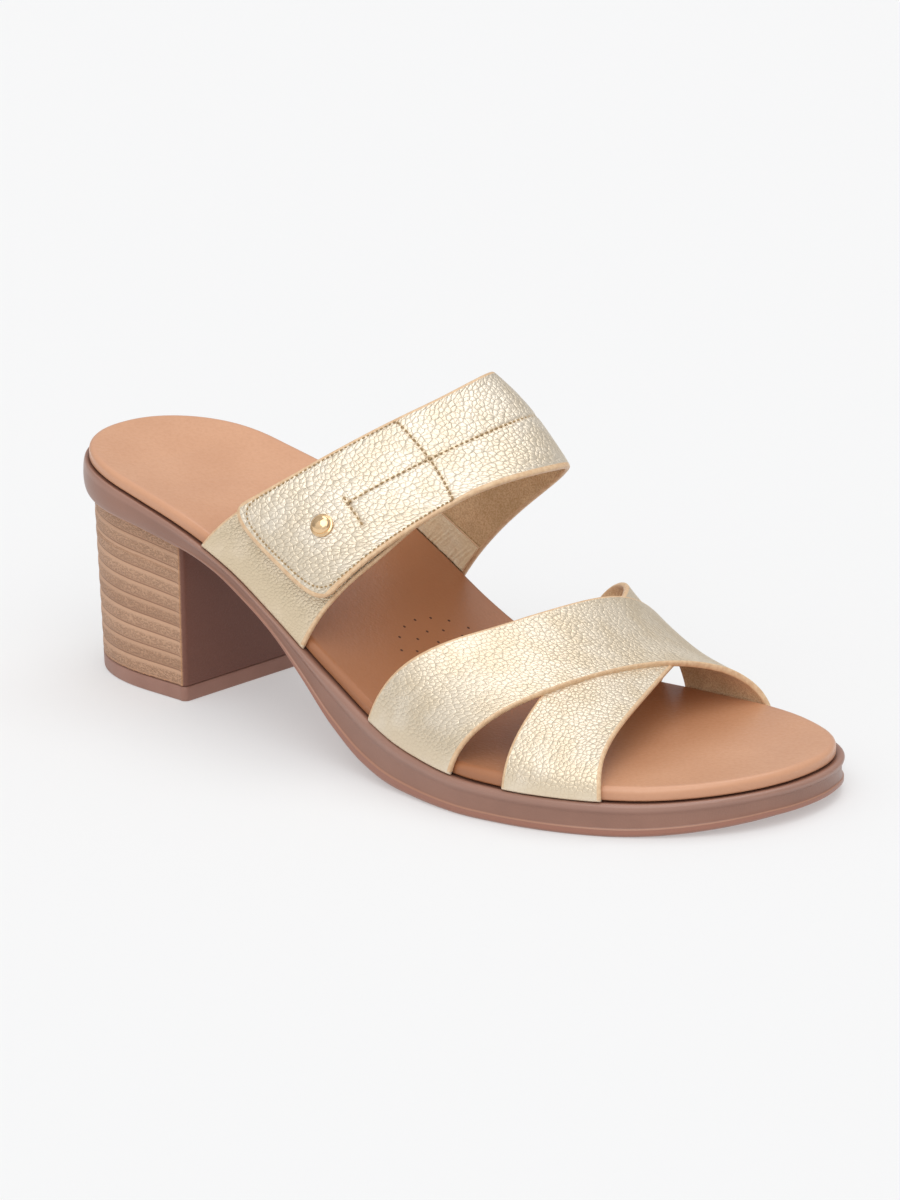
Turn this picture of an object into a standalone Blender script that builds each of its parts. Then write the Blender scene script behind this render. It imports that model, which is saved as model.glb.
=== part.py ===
"""Block heel sandal, right shoe: a unit sole on a stacked block heel, with a footbed and straps.

Lengths are in metres. The shoe points along +X with its inner (big toe) side at +Y, and it stands
on z = 0. The model is worked out from the back of the footbed, and everything is then moved so
that the origin is at the middle of the shoe's box, on the floor.

Every shape follows four things: the footbed's outline, the height of the sole's side above the
floor, the sole's underside, and one foot-shaped surface that the straps lie on. A share `s` runs
from 0 at the heel to 1 at the toe, and an angle round the foot runs from 0 on the outer side,
over the instep, to pi on the inner side.
"""
import math

import bmesh
import bpy
import numpy as np

# Driving dimensions
BED_LENGTH = 0.2385       # footbed, heel to toe, measured level
BALL_WIDTH = 0.0925       # footbed, across the ball
TOE_SWING = 0.0205        # how far the toe's middle lies inward of the heel's middle
HEEL_SEAT = 0.0650        # top of the sole's side above the floor at the heel
FORE_SIDE = 0.0092        # the same at the forefoot
SEAT_BAND = 0.0098        # height of the sole's side at the back of the heel
TOE_SPRING = 0.0030       # lift of the underside at the tip of the toe
SPRING_FROM = 0.88        # share of the length where that lift begins
SOLE_LIP = 0.0024         # how far the sole reaches past the footbed
SOLE_TOP_DROP = 0.0010    # fall of the sole's top from its lip to where the footbed lies
SEAT_RIM = 0.0012         # how far inside the footbed's outline that fall begins
SEAT_SLOPE = 0.0016       # how far in it reaches
BED_THICKNESS = 0.0040    # footbed at its edge
BED_EDGE_RADIUS = 0.0018  # rounding of the footbed's top edge
HEEL_CUP = 0.0022         # how much lower the middle of the footbed lies at the heel
CUP_SHARES = (0.10, 0.17, 0.42)  # shares of the length: full cup between the first two, none at the third
ARCH_RISE = 0.0006        # swell of the footbed under the inner arch
ARCH_SHARE = 0.42         # share of the length where it is highest
ARCH_REACH = 0.13         # its half length, as a share
HEEL_ROUND = 0.032        # length of the rounded back of the footbed
TOE_ROUND = 0.057         # length of the rounded toe
ROUND_POWER = 2.2         # 2 is an ellipse, more is squarer
HEEL_LENGTH = 0.0495      # heel block at the floor, back to breast
HEEL_WIDTH = 0.0500       # heel block at the floor, side to side
HEEL_SET_IN = 0.0010      # how far the heel's back stands in from the footbed's back, at the floor
HEEL_FLARE = 0.0024       # how much wider each side of the heel is at its top
BREAST_LEAN = 0.0020      # how much further forward the breast is at its top
BREAST_CORNER = 0.0015    # cut of the corners beside the breast
HEEL_TURN = 0.70          # share of the heel's length that its rounded back takes
HEEL_POWER = 2.25         # roundness of that back, as ROUND_POWER
LIFT_THICKNESS = 0.0046   # top lift
LIFT_EDGE = 0.0006        # its rounded lower edge
STACK_LAYERS = 10         # layers of the stacked look
GROOVE_DEPTH = 0.0005     # depth of the grooves between layers
GROOVE_WIDTH = 0.0011     # their width
STRAP_THICKNESS = 0.0018
BASE_THICKNESS = 0.0016   # the short strap piece under the tab
TAPE_THICKNESS = 0.0010   # hook-and-loop tape, closed
INSTEP_RISE = 0.0840      # scale of the foot surface's height above the sole's side
WALL_RISE = 0.0036        # how far the straps rise straight up beside the footbed
WALL_POWER = 5            # how soon that rise is done
OVERLAP_SINK = 0.0006     # how deep the upper toe strap is bedded on the lower one
CROSS_RISE = (0.15, 0.75)    # angles between which the upper toe strap climbs on the lower one
TAB_SETTLE = (1.30, 2.30)    # angles between which the wide strap comes down from the short piece
TAB_ANGLE = 0.215         # angle of the tab's rounded end round the foot
TAB_ROUND = 0.13          # how much further round the tab's corners begin
TAB_POWER = 3.2           # squareness of the tab's end
BASE_ANGLE = 1.06         # angle where the short strap piece ends, under the tab
TAPE_FROM = 0.37          # angles between which the tape lies
TAPE_TO = 0.94
TAPE_BACK = 0.05          # shares across the strap between which it lies
TAPE_FRONT = 0.975
STUD_RADIUS = 0.0033
STUD_HEIGHT = 0.0024
STUD_FLANGE = 0.25        # share of its height that its flange takes
STUD_DOME = 0.80          # radius of its dome, as a share
STUD_BEVEL = 0.94         # radius of its flange's two faces, as a share
STUD_ANGLE = 0.468        # angle of the stud round the foot
STUD_ACROSS = 0.55        # where the stud sits across the strap, 0 at the back edge
GAP = 0.0003              # between pieces that lie on each other

STATIONS = 42             # points along each side of an outline
ACROSS_SOLE = 6
ACROSS_BED = 10
ALONG_STRAP = 36
ALONG_BASE = 16
ALONG_TAPE = 10
ACROSS_STRAP = 8
HEEL_POINTS = 27          # points round the back of the heel
STUD_POINTS = 24

# Footbed outline. Columns: share of length, half width as a share of half the ball width.
WIDTH_TABLE = ((0.00, 0.62), (0.12, 0.655), (0.25, 0.69), (0.38, 0.71), (0.50, 0.74),
               (0.62, 0.87), (0.74, 0.985), (0.86, 0.98), (1.00, 0.95))
# Columns: share of length, inward shift as a share of TOE_SWING.
CENTRE_TABLE = ((0.00, 0.00), (0.15, 0.03), (0.38, 0.02), (0.50, 0.00), (0.60, 0.07), (0.72, 0.29),
                (0.85, 0.60), (1.00, 1.00))
# Top of the sole's side. Columns: share of length, share of the drop from heel to forefoot.
SIDE_TABLE = ((0.00, 1.00), (0.08, 0.95), (0.16, 0.88), (0.24, 0.80), (0.32, 0.68), (0.40, 0.50),
              (0.48, 0.305), (0.56, 0.145), (0.64, 0.050), (0.72, 0.010), (0.80, 0.00), (0.90, 0.00),
              (1.00, 0.025))
# Underside. Columns: share of length, share of the heel seat's own height.
UNDER_TABLE = ((0.00, 1.000), (0.08, 0.955), (0.16, 0.918), (0.20, 0.895), (0.25, 0.870), (0.30, 0.815),
               (0.35, 0.712), (0.40, 0.580), (0.45, 0.395), (0.50, 0.200), (0.55, 0.078), (0.60, 0.025),
               (0.66, 0.005), (0.71, 0.00))
# Side wall of the sole. Columns: share of its height, then its reach past the footbed as shares of
# SOLE_LIP: forward of the arch, with the foxing step and the bead, and round the heel, one soft curve.
WALL_TABLE = ((0.00, 0.50, 0.05), (0.05, 0.80, 0.32), (0.12, 0.96, 0.52), (0.24, 0.96, 0.66),
              (0.28, 0.76, 0.69), (0.52, 0.68, 0.76), (0.70, 0.74, 0.74), (0.77, 0.95, 0.70),
              (0.88, 1.00, 0.64), (0.96, 0.90, 0.56), (1.00, 0.62, 0.46))
WALL_BLEND = (0.17, 0.36)  # shares of the length between which the heel's wall turns into the other
# Foot surface. Columns: share of length, rise above the sole's side as a share of INSTEP_RISE.
RISE_TABLE = ((0.20, 0.72), (0.35, 0.71), (0.46, 0.76), (0.56, 0.70), (0.67, 0.41), (0.77, 0.235),
              (0.86, 0.16), (0.95, 0.15))
# Inward lean of the foot's ridge. Columns: share of length, share of half the ball width.
LEAN_TABLE = ((0.20, 0.34), (0.50, 0.70), (0.65, 0.41), (0.80, -0.02), (0.95, 0.00))
# Strap edges. Columns: outer base, inner base, forward bulge, twist, all shares of the length.
STRAP_EDGES = {
    "instep back": (0.277, 0.285, 0.183, 0.014),
    "instep front": (0.449, 0.428, 0.142, -0.005),
    "upper back": (0.565, 0.718, 0.042, 0.032),
    "upper front": (0.703, 0.830, 0.004, 0.020),
    "lower back": (0.770, 0.584, 0.034, -0.010),
    "lower front": (0.877, 0.684, 0.030, -0.016),
}

# Columns: base colour, metallic, roughness.
MATERIALS = {
    "sole rubber": ((0.262, 0.139, 0.107, 1.0), 0.0, 0.42),
    "stacked heel": ((0.440, 0.245, 0.165, 1.0), 0.0, 0.55),
    "top lift rubber": ((0.225, 0.120, 0.095, 1.0), 0.0, 0.50),
    "footbed leather": ((0.660, 0.365, 0.225, 1.0), 0.0, 0.45),
    "gold leather": ((0.830, 0.760, 0.590, 1.0), 0.55, 0.38),
    "loop tape": ((0.330, 0.230, 0.130, 1.0), 0.0, 0.90),
    "gold metal": ((0.880, 0.700, 0.450, 1.0), 1.0, 0.18),
}


def smooth(table, share):
    """Reads a two-column table with a curve that never overshoots its rows."""
    rows = np.array(table)
    at, value = rows[:, 0], rows[:, 1]
    step = np.diff(at)
    slope = np.diff(value) / step
    tangent = np.zeros(len(at))
    rising = slope[1:] * slope[:-1] > 0
    weight_a = 2.0 * step[1:] + step[:-1]
    weight_b = step[1:] + 2.0 * step[:-1]
    safe_a = np.where(rising, slope[:-1], 1.0)
    safe_b = np.where(rising, slope[1:], 1.0)
    tangent[1:-1] = np.where(rising, (weight_a + weight_b) / (weight_a / safe_a + weight_b / safe_b), 0.0)
    tangent[0], tangent[-1] = slope[0], slope[-1]
    share = np.clip(share, at[0], at[-1])
    cell = np.clip(np.searchsorted(at, share, side="right") - 1, 0, len(at) - 2)
    t = (share - at[cell]) / step[cell]
    return ((1.0 + 2.0 * t) * (1.0 - t) ** 2 * value[cell] + t * (1.0 - t) ** 2 * step[cell] * tangent[cell]
            + t ** 2 * (3.0 - 2.0 * t) * value[cell + 1]
            + t ** 2 * (t - 1.0) * step[cell] * tangent[cell + 1])


def step_up(value, low, high):
    """Soft step from 0 to 1 between two values."""
    t = np.clip((value - low) / (high - low), 0.0, 1.0)
    return t * t * (3.0 - 2.0 * t)


def half_width(x):
    """Half width of the footbed at x, with its heel and toe rounded."""
    heel = 1.0 - np.clip(1.0 - x / HEEL_ROUND, 0.0, 1.0) ** ROUND_POWER
    toe = 1.0 - np.clip(1.0 - (BED_LENGTH - x) / TOE_ROUND, 0.0, 1.0) ** ROUND_POWER
    full = BALL_WIDTH / 2.0 * smooth(WIDTH_TABLE, x / BED_LENGTH)
    return full * (heel * toe) ** (1.0 / ROUND_POWER)


def centre(x):
    """Middle of the footbed at x."""
    return TOE_SWING * smooth(CENTRE_TABLE, x / BED_LENGTH)


def side_top(x):
    """Height of the top of the sole's side at x."""
    return FORE_SIDE + (HEEL_SEAT - FORE_SIDE) * smooth(SIDE_TABLE, x / BED_LENGTH)


def underside(x):
    """Height of the sole's underside at x: the heel seat, the arch, the flat tread, the toe spring."""
    share = x / BED_LENGTH
    spring = TOE_SPRING * np.maximum((share - SPRING_FROM) / (1.0 - SPRING_FROM), 0.0) ** 2
    return (HEEL_SEAT - SEAT_BAND) * smooth(UNDER_TABLE, share) + spring


def outline(offset):
    """Points of the footbed's outline moved outward by offset, from the heel's tip round the inner side."""
    x = BED_LENGTH * (1.0 - np.cos(np.pi * np.arange(1, STATIONS + 1) / (STATIONS + 1))) / 2.0
    half = half_width(x)
    inner = np.column_stack([x, centre(x) + half])
    outer = np.column_stack([x, centre(x) - half])[::-1]
    tips = [[0.0, centre(0.0)]], [[BED_LENGTH, centre(BED_LENGTH)]]
    points = np.vstack([tips[0], inner, tips[1], outer])
    along = np.roll(points, -1, axis=0) - np.roll(points, 1, axis=0)
    outward = np.column_stack([-along[:, 1], along[:, 0]])
    outward /= np.linalg.norm(outward, axis=1)[:, None]
    return points + offset * outward


def frame_shift():
    """Moves the box's middle to the origin: half the footbed's length, and the outline's middle in y."""
    points = outline(SOLE_LIP)
    return np.array([-points[:, 0].min() - np.ptp(points[:, 0]) / 2.0,
                     -points[:, 1].min() - np.ptp(points[:, 1]) / 2.0, 0.0])


def loop_at(offset, height):
    """The outline at an offset, lifted to a height that is a function of x."""
    flat = outline(offset)
    return np.column_stack([flat, height(np.clip(flat[:, 0], 0.0, BED_LENGTH))])


def cap(loop, across, height):
    """Rows of points across a closed loop, between its two tips, with heights from a function."""
    inner = loop[1:STATIONS + 1]
    outer = loop[:STATIONS + 1:-1]
    t = (np.arange(1, across) / across)[None, :, None]
    rows = outer[:, None, :] * (1.0 - t) + inner[:, None, :] * t
    rows[:, :, 2] = height(rows[:, :, 0], rows[:, :, 1])
    return rows


def build_body(loops, bottom_height, top_height, across):
    """Closed body from a stack of outline loops, capped below and above with rows of points."""
    count = len(loops[0])
    points = list(np.vstack(loops))
    faces = []
    for level in range(len(loops) - 1):
        low, high = level * count, (level + 1) * count
        for i in range(count):
            j = (i + 1) % count
            faces.append((low + j, low + i, high + i, high + j))
    for start, height, up in ((0, bottom_height, False), ((len(loops) - 1) * count, top_height, True)):
        rows = cap(np.array(points[start:start + count]), across, height)
        first = len(points)
        points.extend(rows.reshape(-1, 3))
        grid = np.zeros((STATIONS, across + 1), int)
        grid[:, 0] = start + count - 1 - np.arange(STATIONS)
        grid[:, -1] = start + 1 + np.arange(STATIONS)
        grid[:, 1:-1] = first + np.arange(STATIONS * (across - 1)).reshape(STATIONS, across - 1)
        cells = []
        for i in range(STATIONS - 1):
            for j in range(across):
                cells.append((grid[i, j], grid[i + 1, j], grid[i + 1, j + 1], grid[i, j + 1]))
        for j in range(across):
            cells.append((start, grid[0, j], grid[0, j + 1]))
            cells.append((grid[-1, j], start + STATIONS + 1, grid[-1, j + 1]))
        faces.extend(cells if up else [cell[::-1] for cell in cells])
    return np.array(points), faces


def make_object(name, points, faces, material, smooth_angle=40.0):
    """A mesh object of one closed body, moved into the shoe's frame, with outward faces."""
    mesh = bpy.data.meshes.new(name)
    mesh.from_pydata([tuple(p) for p in np.asarray(points) + frame_shift()], [], faces)
    body = bmesh.new()
    body.from_mesh(mesh)
    bmesh.ops.recalc_face_normals(body, faces=body.faces)
    bmesh.ops.triangulate(body, faces=[face for face in body.faces if len(face.verts) > 3])
    body.to_mesh(mesh)
    body.free()
    mesh.shade_smooth()
    mesh.set_sharp_from_angle(angle=math.radians(smooth_angle))
    mesh.materials.append(material)
    item = bpy.data.objects.new(name, mesh)
    bpy.context.scene.collection.objects.link(item)
    return item


def make_materials():
    """One Principled material for each row of MATERIALS."""
    made = {}
    for name, (colour, metallic, roughness) in MATERIALS.items():
        material = bpy.data.materials.new(name)
        material.use_nodes = True
        shader = material.node_tree.nodes["Principled BSDF"]
        shader.inputs["Base Color"].default_value = colour
        shader.inputs["Metallic"].default_value = metallic
        shader.inputs["Roughness"].default_value = roughness
        made[name] = material
    return made


def sole_top(x, y):
    """Top of the sole inside its lip, where the footbed lies."""
    return side_top(np.clip(x, 0.0, BED_LENGTH)) - SOLE_TOP_DROP


def make_outsole(material):
    """Unit sole: a lipped side wall with its foxing step and bead, arch, flat tread and toe spring."""
    share_along = outline(0.0)[:, 0] / BED_LENGTH
    heel = 1.0 - step_up(share_along, *WALL_BLEND)
    loops = []
    for share, fore_reach, heel_reach in WALL_TABLE:
        def height(x, share=share):
            return underside(x) + share * (side_top(x) - underside(x))
        reach = fore_reach * (1.0 - heel) + heel_reach * heel
        loops.append(loop_at(reach[:, None] * SOLE_LIP, height))
    loops.append(loop_at(-SEAT_RIM, side_top))
    loops.append(loop_at(-SEAT_RIM - SEAT_SLOPE, lambda x: side_top(x) - SOLE_TOP_DROP))
    points, faces = build_body(loops, lambda x, y: underside(x), sole_top, ACROSS_SOLE)
    return make_object("outsole", points, faces, material)


def bed_top(x, y):
    """Top of the footbed: cupped at the heel, raised under the inner arch, level at the toes."""
    x = np.clip(x, 0.0, BED_LENGTH)
    share = x / BED_LENGTH
    side = (y - centre(x)) / np.maximum(half_width(x), BED_EDGE_RADIUS)
    full, fade, gone = CUP_SHARES
    length = np.clip((gone - share) / (gone - fade), 0.0, 1.0) * np.clip(share / full, 0.0, 1.0)
    cup = HEEL_CUP * (1.0 - np.clip(side, -1.0, 1.0) ** 2) * length
    arch = ARCH_RISE * np.clip(side, 0.0, 1.0) ** 2 * np.exp(-((share - ARCH_SHARE) / ARCH_REACH) ** 2)
    return side_top(x) + BED_THICKNESS - cup + arch


def make_insole(material):
    """Footbed: lies in the sole's shallow seat, with a rounded top edge."""
    loops = [loop_at(-SEAT_RIM - SEAT_SLOPE - GAP, lambda x: side_top(x) - SOLE_TOP_DROP + GAP),
             loop_at(-SEAT_RIM - GAP, lambda x: side_top(x) + GAP),
             loop_at(0.0, lambda x: side_top(x) + GAP)]
    for turn in np.radians([0.0, 30.0, 60.0, 90.0]):
        inset = BED_EDGE_RADIUS * (1.0 - math.cos(turn))
        flat = outline(-inset)
        top = bed_top(flat[:, 0], flat[:, 1]) - BED_EDGE_RADIUS * (1.0 - math.sin(turn))
        loops.append(np.column_stack([flat, top]))
    points, faces = build_body(loops, lambda x, y: sole_top(x, y) + GAP, bed_top, ACROSS_BED)
    return make_object("insole", points, faces, material)


def heel_loop(height, groove=0.0):
    """D-shaped ring of the heel at a height: rounded back, straight breast, a little wider above."""
    rise = height / (HEEL_SEAT - SEAT_BAND)
    back = HEEL_SET_IN * (1.0 - rise) + groove
    breast = HEEL_SET_IN + HEEL_LENGTH + BREAST_LEAN * rise
    half = HEEL_WIDTH / 2.0 + HEEL_FLARE * rise - groove
    turn = HEEL_LENGTH * HEEL_TURN
    arc = np.linspace(-np.pi / 2.0, np.pi / 2.0, HEEL_POINTS)
    power = 2.0 / HEEL_POWER
    round_x = back + turn * (1.0 - np.abs(np.cos(arc)) ** power)
    round_y = half * np.sign(arc) * np.abs(np.sin(arc)) ** power
    corner = breast - BREAST_CORNER
    flat_x = np.array([corner, breast, breast, breast, corner])
    flat_y = np.array([half, half - BREAST_CORNER, 0.0, BREAST_CORNER - half, -half])
    return np.column_stack([np.concatenate([round_x, flat_x]), np.concatenate([round_y, flat_y])])


def stack_rings(rings):
    """Closed body from stacked rings of points, each cap a fan of faces."""
    count = len(rings[0])
    points = np.vstack(rings)
    faces = []
    for level in range(len(rings) - 1):
        low, high = level * count, (level + 1) * count
        for i in range(count):
            j = (i + 1) % count
            faces.append((low + i, low + j, high + j, high + i))
    top = (len(rings) - 1) * count
    faces.append(tuple(range(count))[::-1])
    faces.append(tuple(range(top, top + count)))
    return points, faces


def make_heel_block(material):
    """Heel block: layers with grooves between them, its top following the heel seat."""
    foot = LIFT_THICKNESS + GAP
    full = HEEL_SEAT - SEAT_BAND
    layer = (full - foot) / STACK_LAYERS
    rings = []
    levels = [(foot, 0.0)]
    for k in range(1, STACK_LAYERS):
        middle = foot + k * layer
        levels += [(middle - GROOVE_WIDTH / 2.0, 0.0), (middle, GROOVE_DEPTH),
                   (middle + GROOVE_WIDTH / 2.0, 0.0)]
    levels.append((full, 0.0))
    for height, groove in levels:
        flat = heel_loop(height, groove)
        ceiling = underside(np.clip(flat[:, 0], 0.0, BED_LENGTH)) - GAP
        squeeze = (ceiling - foot) / (full - foot)
        rings.append(np.column_stack([flat, foot + (height - foot) * squeeze]))
    points, faces = stack_rings(rings)
    return make_object("heel_block", points, faces, material)


def make_toplift(material):
    """Top lift: flat on the floor, with the heel's own outline and a small rounded edge."""
    rings = []
    for height, inset in ((0.0, LIFT_EDGE), (LIFT_EDGE, 0.0), (LIFT_THICKNESS, 0.0)):
        flat = heel_loop(height, inset)
        rings.append(np.column_stack([flat, np.full(len(flat), height)]))
    points, faces = stack_rings(rings)
    return make_object("heel_toplift", points, faces, material)


def foot_surface(edges, angle, across):
    """Points of the foot surface under a strap, at angles round the foot and shares across the strap."""
    base = np.array([STRAP_EDGES[name] for name in edges]) * BED_LENGTH
    row = base[0][:, None, None] * (1.0 - across) + base[1][:, None, None] * across
    swing = (1.0 - np.cos(angle)) / 2.0
    x = row[0] + (row[1] - row[0]) * swing + row[2] * np.sin(angle) + row[3] * np.sin(2.0 * angle)
    share = x / BED_LENGTH
    lean = BALL_WIDTH / 2.0 * smooth(LEAN_TABLE, share) * np.sin(angle) ** 2
    y = centre(x) - (half_width(x) + GAP) * np.cos(angle) + lean
    rise = INSTEP_RISE * smooth(RISE_TABLE, share) - WALL_RISE
    wall = WALL_RISE * (1.0 - (1.0 - np.sin(angle)) ** WALL_POWER)
    z = side_top(x) + GAP + rise * np.sin(angle) + wall
    return np.stack([x, y, z], axis=-1)


def outward_normals(grid):
    """Unit normals of a grid of points, away from the foot."""
    normal = np.cross(np.gradient(grid, axis=1), np.gradient(grid, axis=0))
    return normal / np.linalg.norm(normal, axis=2)[:, :, None]


def ribbon(edges, start, stop, lift, thickness, front=1.0, back=0.0, along=ALONG_STRAP):
    """Strap as a closed body.

    start is the angle where it begins, as a function of the share across; lift is its height over
    the foot surface as a function of the angle; front and back are the shares across of its edges.
    """
    even = (1.0 - np.cos(np.pi * np.arange(ACROSS_STRAP + 1) / ACROSS_STRAP)) / 2.0
    across = (back + (front - back) * even)[None, :]
    first = start(even)[None, :]
    t = np.linspace(0.0, 1.0, along + 1)[:, None]
    angle = first + (stop - first) * t
    grid = foot_surface(edges, angle, np.broadcast_to(across, angle.shape))
    normal = outward_normals(grid)
    raised = lift(angle)[:, :, None]
    inside = grid + normal * raised
    outside = grid + normal * (raised + thickness)
    rows, columns = angle.shape
    points = np.vstack([inside.reshape(-1, 3), outside.reshape(-1, 3)])
    index = np.arange(rows * columns).reshape(rows, columns)
    over = index + rows * columns
    faces = []
    for i in range(rows - 1):
        for j in range(columns - 1):
            faces.append((index[i, j], index[i, j + 1], index[i + 1, j + 1], index[i + 1, j]))
            faces.append((over[i, j], over[i + 1, j], over[i + 1, j + 1], over[i, j + 1]))
        for j in (0, columns - 1):
            faces.append((index[i, j], index[i + 1, j], over[i + 1, j], over[i, j]))
    for j in range(columns - 1):
        for i in (0, rows - 1):
            faces.append((index[i, j], index[i, j + 1], over[i, j + 1], over[i, j]))
    return points, faces


def level_start(angle):
    """A strap end cut straight, at one angle all across."""
    return lambda across: np.full(len(across), angle)


def round_start(angle, depth):
    """A strap end with round corners, as deep as given at its two edges."""
    def start(across):
        side = np.abs(2.0 * across - 1.0)
        return angle + depth * (1.0 - (1.0 - side ** TAB_POWER) ** (1.0 / TAB_POWER))
    return start


def tab_stack():
    """Height of the tab's inside over the foot surface: the short piece and the closed tape under it."""
    return BASE_THICKNESS + TAPE_THICKNESS + 2.0 * GAP


def constant(height):
    """A lift that is the same at every angle."""
    return lambda angle: np.full(angle.shape, height)


def make_cross_straps(material):
    """The two toe straps, the upper one bedded on the lower one where they cross, as one body."""
    flat = level_start(0.0)
    points, faces = ribbon(("lower back", "lower front"), flat, np.pi, constant(0.0), STRAP_THICKNESS)
    lower = make_object("lower strap", points, faces, material)

    def lift(angle):
        nearer = np.minimum(angle, np.pi - angle)
        return (STRAP_THICKNESS - OVERLAP_SINK) * step_up(nearer, *CROSS_RISE)
    points, faces = ribbon(("upper back", "upper front"), flat, np.pi, lift, STRAP_THICKNESS)
    straps = make_object("cross_straps", points, faces, material)
    union = straps.modifiers.new("join straps", "BOOLEAN")
    union.operation = "UNION"
    union.object = lower
    lower.hide_render = True
    lower.display_type = "WIRE"
    return straps


def make_instep_strap(material):
    """The wide strap: from the inner side over the instep, down to its rounded tab on the outer side."""
    def lift(angle):
        return tab_stack() * (1.0 - step_up(angle, *TAB_SETTLE))
    points, faces = ribbon(("instep back", "instep front"), round_start(TAB_ANGLE, TAB_ROUND), np.pi, lift,
                           STRAP_THICKNESS)
    return make_object("instep_strap", points, faces, material)


def make_instep_base(material):
    """The short strap piece on the outer side, which the tab closes on."""
    points, faces = ribbon(("instep back", "instep front"), level_start(0.0), BASE_ANGLE,
                           constant(0.0), BASE_THICKNESS, along=ALONG_BASE)
    return make_object("instep_strap_base", points, faces, material)


def make_closure_tape(material):
    """Closed hook-and-loop tape between the short piece and the tab."""
    points, faces = ribbon(("instep back", "instep front"), level_start(TAPE_FROM), TAPE_TO,
                           constant(BASE_THICKNESS + GAP), TAPE_THICKNESS, front=TAPE_FRONT,
                           back=TAPE_BACK, along=ALONG_TAPE)
    return make_object("closure_tape", points, faces, material)


def make_stud(material):
    """Plain domed stud on the tab, square to the strap."""
    nearby = np.array([-0.01, 0.0, 0.01])
    angle, across = np.meshgrid(STUD_ANGLE + nearby, STUD_ACROSS + nearby, indexing="ij")
    grid = foot_surface(("instep back", "instep front"), angle, across)
    normal = outward_normals(grid)[1, 1]
    seat = grid[1, 1] + normal * (tab_stack() + STRAP_THICKNESS + GAP)
    side = np.cross(normal, [0.0, 0.0, 1.0])
    side /= np.linalg.norm(side)
    up = np.cross(normal, side)
    turn = np.linspace(0.0, 2.0 * np.pi, STUD_POINTS, endpoint=False)
    circle = np.outer(np.cos(turn), side) + np.outer(np.sin(turn), up)
    flange = STUD_HEIGHT * STUD_FLANGE
    rings = [seat + circle * STUD_RADIUS * STUD_BEVEL, seat + circle * STUD_RADIUS + normal * flange / 2.0,
             seat + circle * STUD_RADIUS * STUD_BEVEL + normal * flange]
    for rise in np.radians([0.0, 20.0, 40.0, 60.0, 78.0]):
        rings.append(seat + circle * STUD_RADIUS * STUD_DOME * math.cos(rise)
                     + normal * (flange + (STUD_HEIGHT - flange) * math.sin(rise)))
    points, faces = stack_rings(rings)
    return make_object("stud", points, faces, material)


def main():
    """Clears the scene, then builds each piece."""
    for item in list(bpy.data.objects):
        bpy.data.objects.remove(item)
    materials = make_materials()
    make_outsole(materials["sole rubber"])
    make_heel_block(materials["stacked heel"])
    make_toplift(materials["top lift rubber"])
    make_insole(materials["footbed leather"])
    make_cross_straps(materials["gold leather"])
    make_instep_strap(materials["gold leather"])
    make_instep_base(materials["gold leather"])
    make_closure_tape(materials["loop tape"])
    make_stud(materials["gold metal"])


main()
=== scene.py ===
# %% [markdown]
# # A slide sandal on a block heel
#
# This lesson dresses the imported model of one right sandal: a moulded sole on a stacked heel, a leather
# footbed, two toe straps that cross, and a wide strap over the instep that closes on the outer side.
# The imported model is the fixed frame. Every length here is in metres and is the same as in the model,
# so that each fine surface lies where its plain solid lies.

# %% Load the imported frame
import math

import bmesh
import bpy
import numpy as np
from mathutils import Matrix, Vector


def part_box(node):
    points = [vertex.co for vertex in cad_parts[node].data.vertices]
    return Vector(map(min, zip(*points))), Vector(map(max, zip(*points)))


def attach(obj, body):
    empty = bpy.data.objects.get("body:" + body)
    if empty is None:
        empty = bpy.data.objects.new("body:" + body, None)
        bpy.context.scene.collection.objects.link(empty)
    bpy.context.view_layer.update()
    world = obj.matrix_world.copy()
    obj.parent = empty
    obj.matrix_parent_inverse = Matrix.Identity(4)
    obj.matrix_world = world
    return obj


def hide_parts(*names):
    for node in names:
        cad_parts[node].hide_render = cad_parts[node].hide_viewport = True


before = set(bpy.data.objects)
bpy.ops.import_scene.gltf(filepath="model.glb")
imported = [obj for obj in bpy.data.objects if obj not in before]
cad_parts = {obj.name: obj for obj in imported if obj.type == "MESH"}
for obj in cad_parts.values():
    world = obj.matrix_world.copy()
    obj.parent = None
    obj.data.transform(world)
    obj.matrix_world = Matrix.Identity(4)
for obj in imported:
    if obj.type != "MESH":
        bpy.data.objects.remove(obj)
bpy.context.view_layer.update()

# %% [markdown]
# ## The camera
#
# The camera comes first, because it decides which details need work. The sandal is seen from its
# outer side and a little from the front, from above the toes. A long lens a good metre away gives the
# gentle perspective of a product picture.

# %% Camera
EYE = np.array([0.8777, -0.9393, 0.4396])
AIM = np.array([0.0040, -0.0010, 0.0385])
VIEW_ROLL = math.radians(-0.19)

BACK = (EYE - AIM) / np.linalg.norm(EYE - AIM)
LEVEL = np.array([-BACK[1], BACK[0], 0.0]) / math.hypot(BACK[0], BACK[1])
UPWARD = np.cross(BACK, LEVEL)
RIGHT = math.cos(VIEW_ROLL) * LEVEL + math.sin(VIEW_ROLL) * UPWARD
UP = -math.sin(VIEW_ROLL) * LEVEL + math.cos(VIEW_ROLL) * UPWARD

camera_data = bpy.data.cameras.new("camera")
camera_data.sensor_fit = "VERTICAL"
camera_data.sensor_height = 36.0
camera_data.lens = 146.0
camera_data.clip_start = 0.05
camera = bpy.data.objects.new("camera", camera_data)
bpy.context.scene.collection.objects.link(camera)
turn = np.identity(4)
turn[:3, 0], turn[:3, 1], turn[:3, 2], turn[:3, 3] = RIGHT, UP, BACK, EYE
camera.matrix_world = Matrix(turn.tolist())
bpy.context.scene.camera = camera
print("camera at", np.round(EYE, 3), "and", round(math.degrees(math.asin(BACK[2])), 1), "degrees above level")

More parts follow.
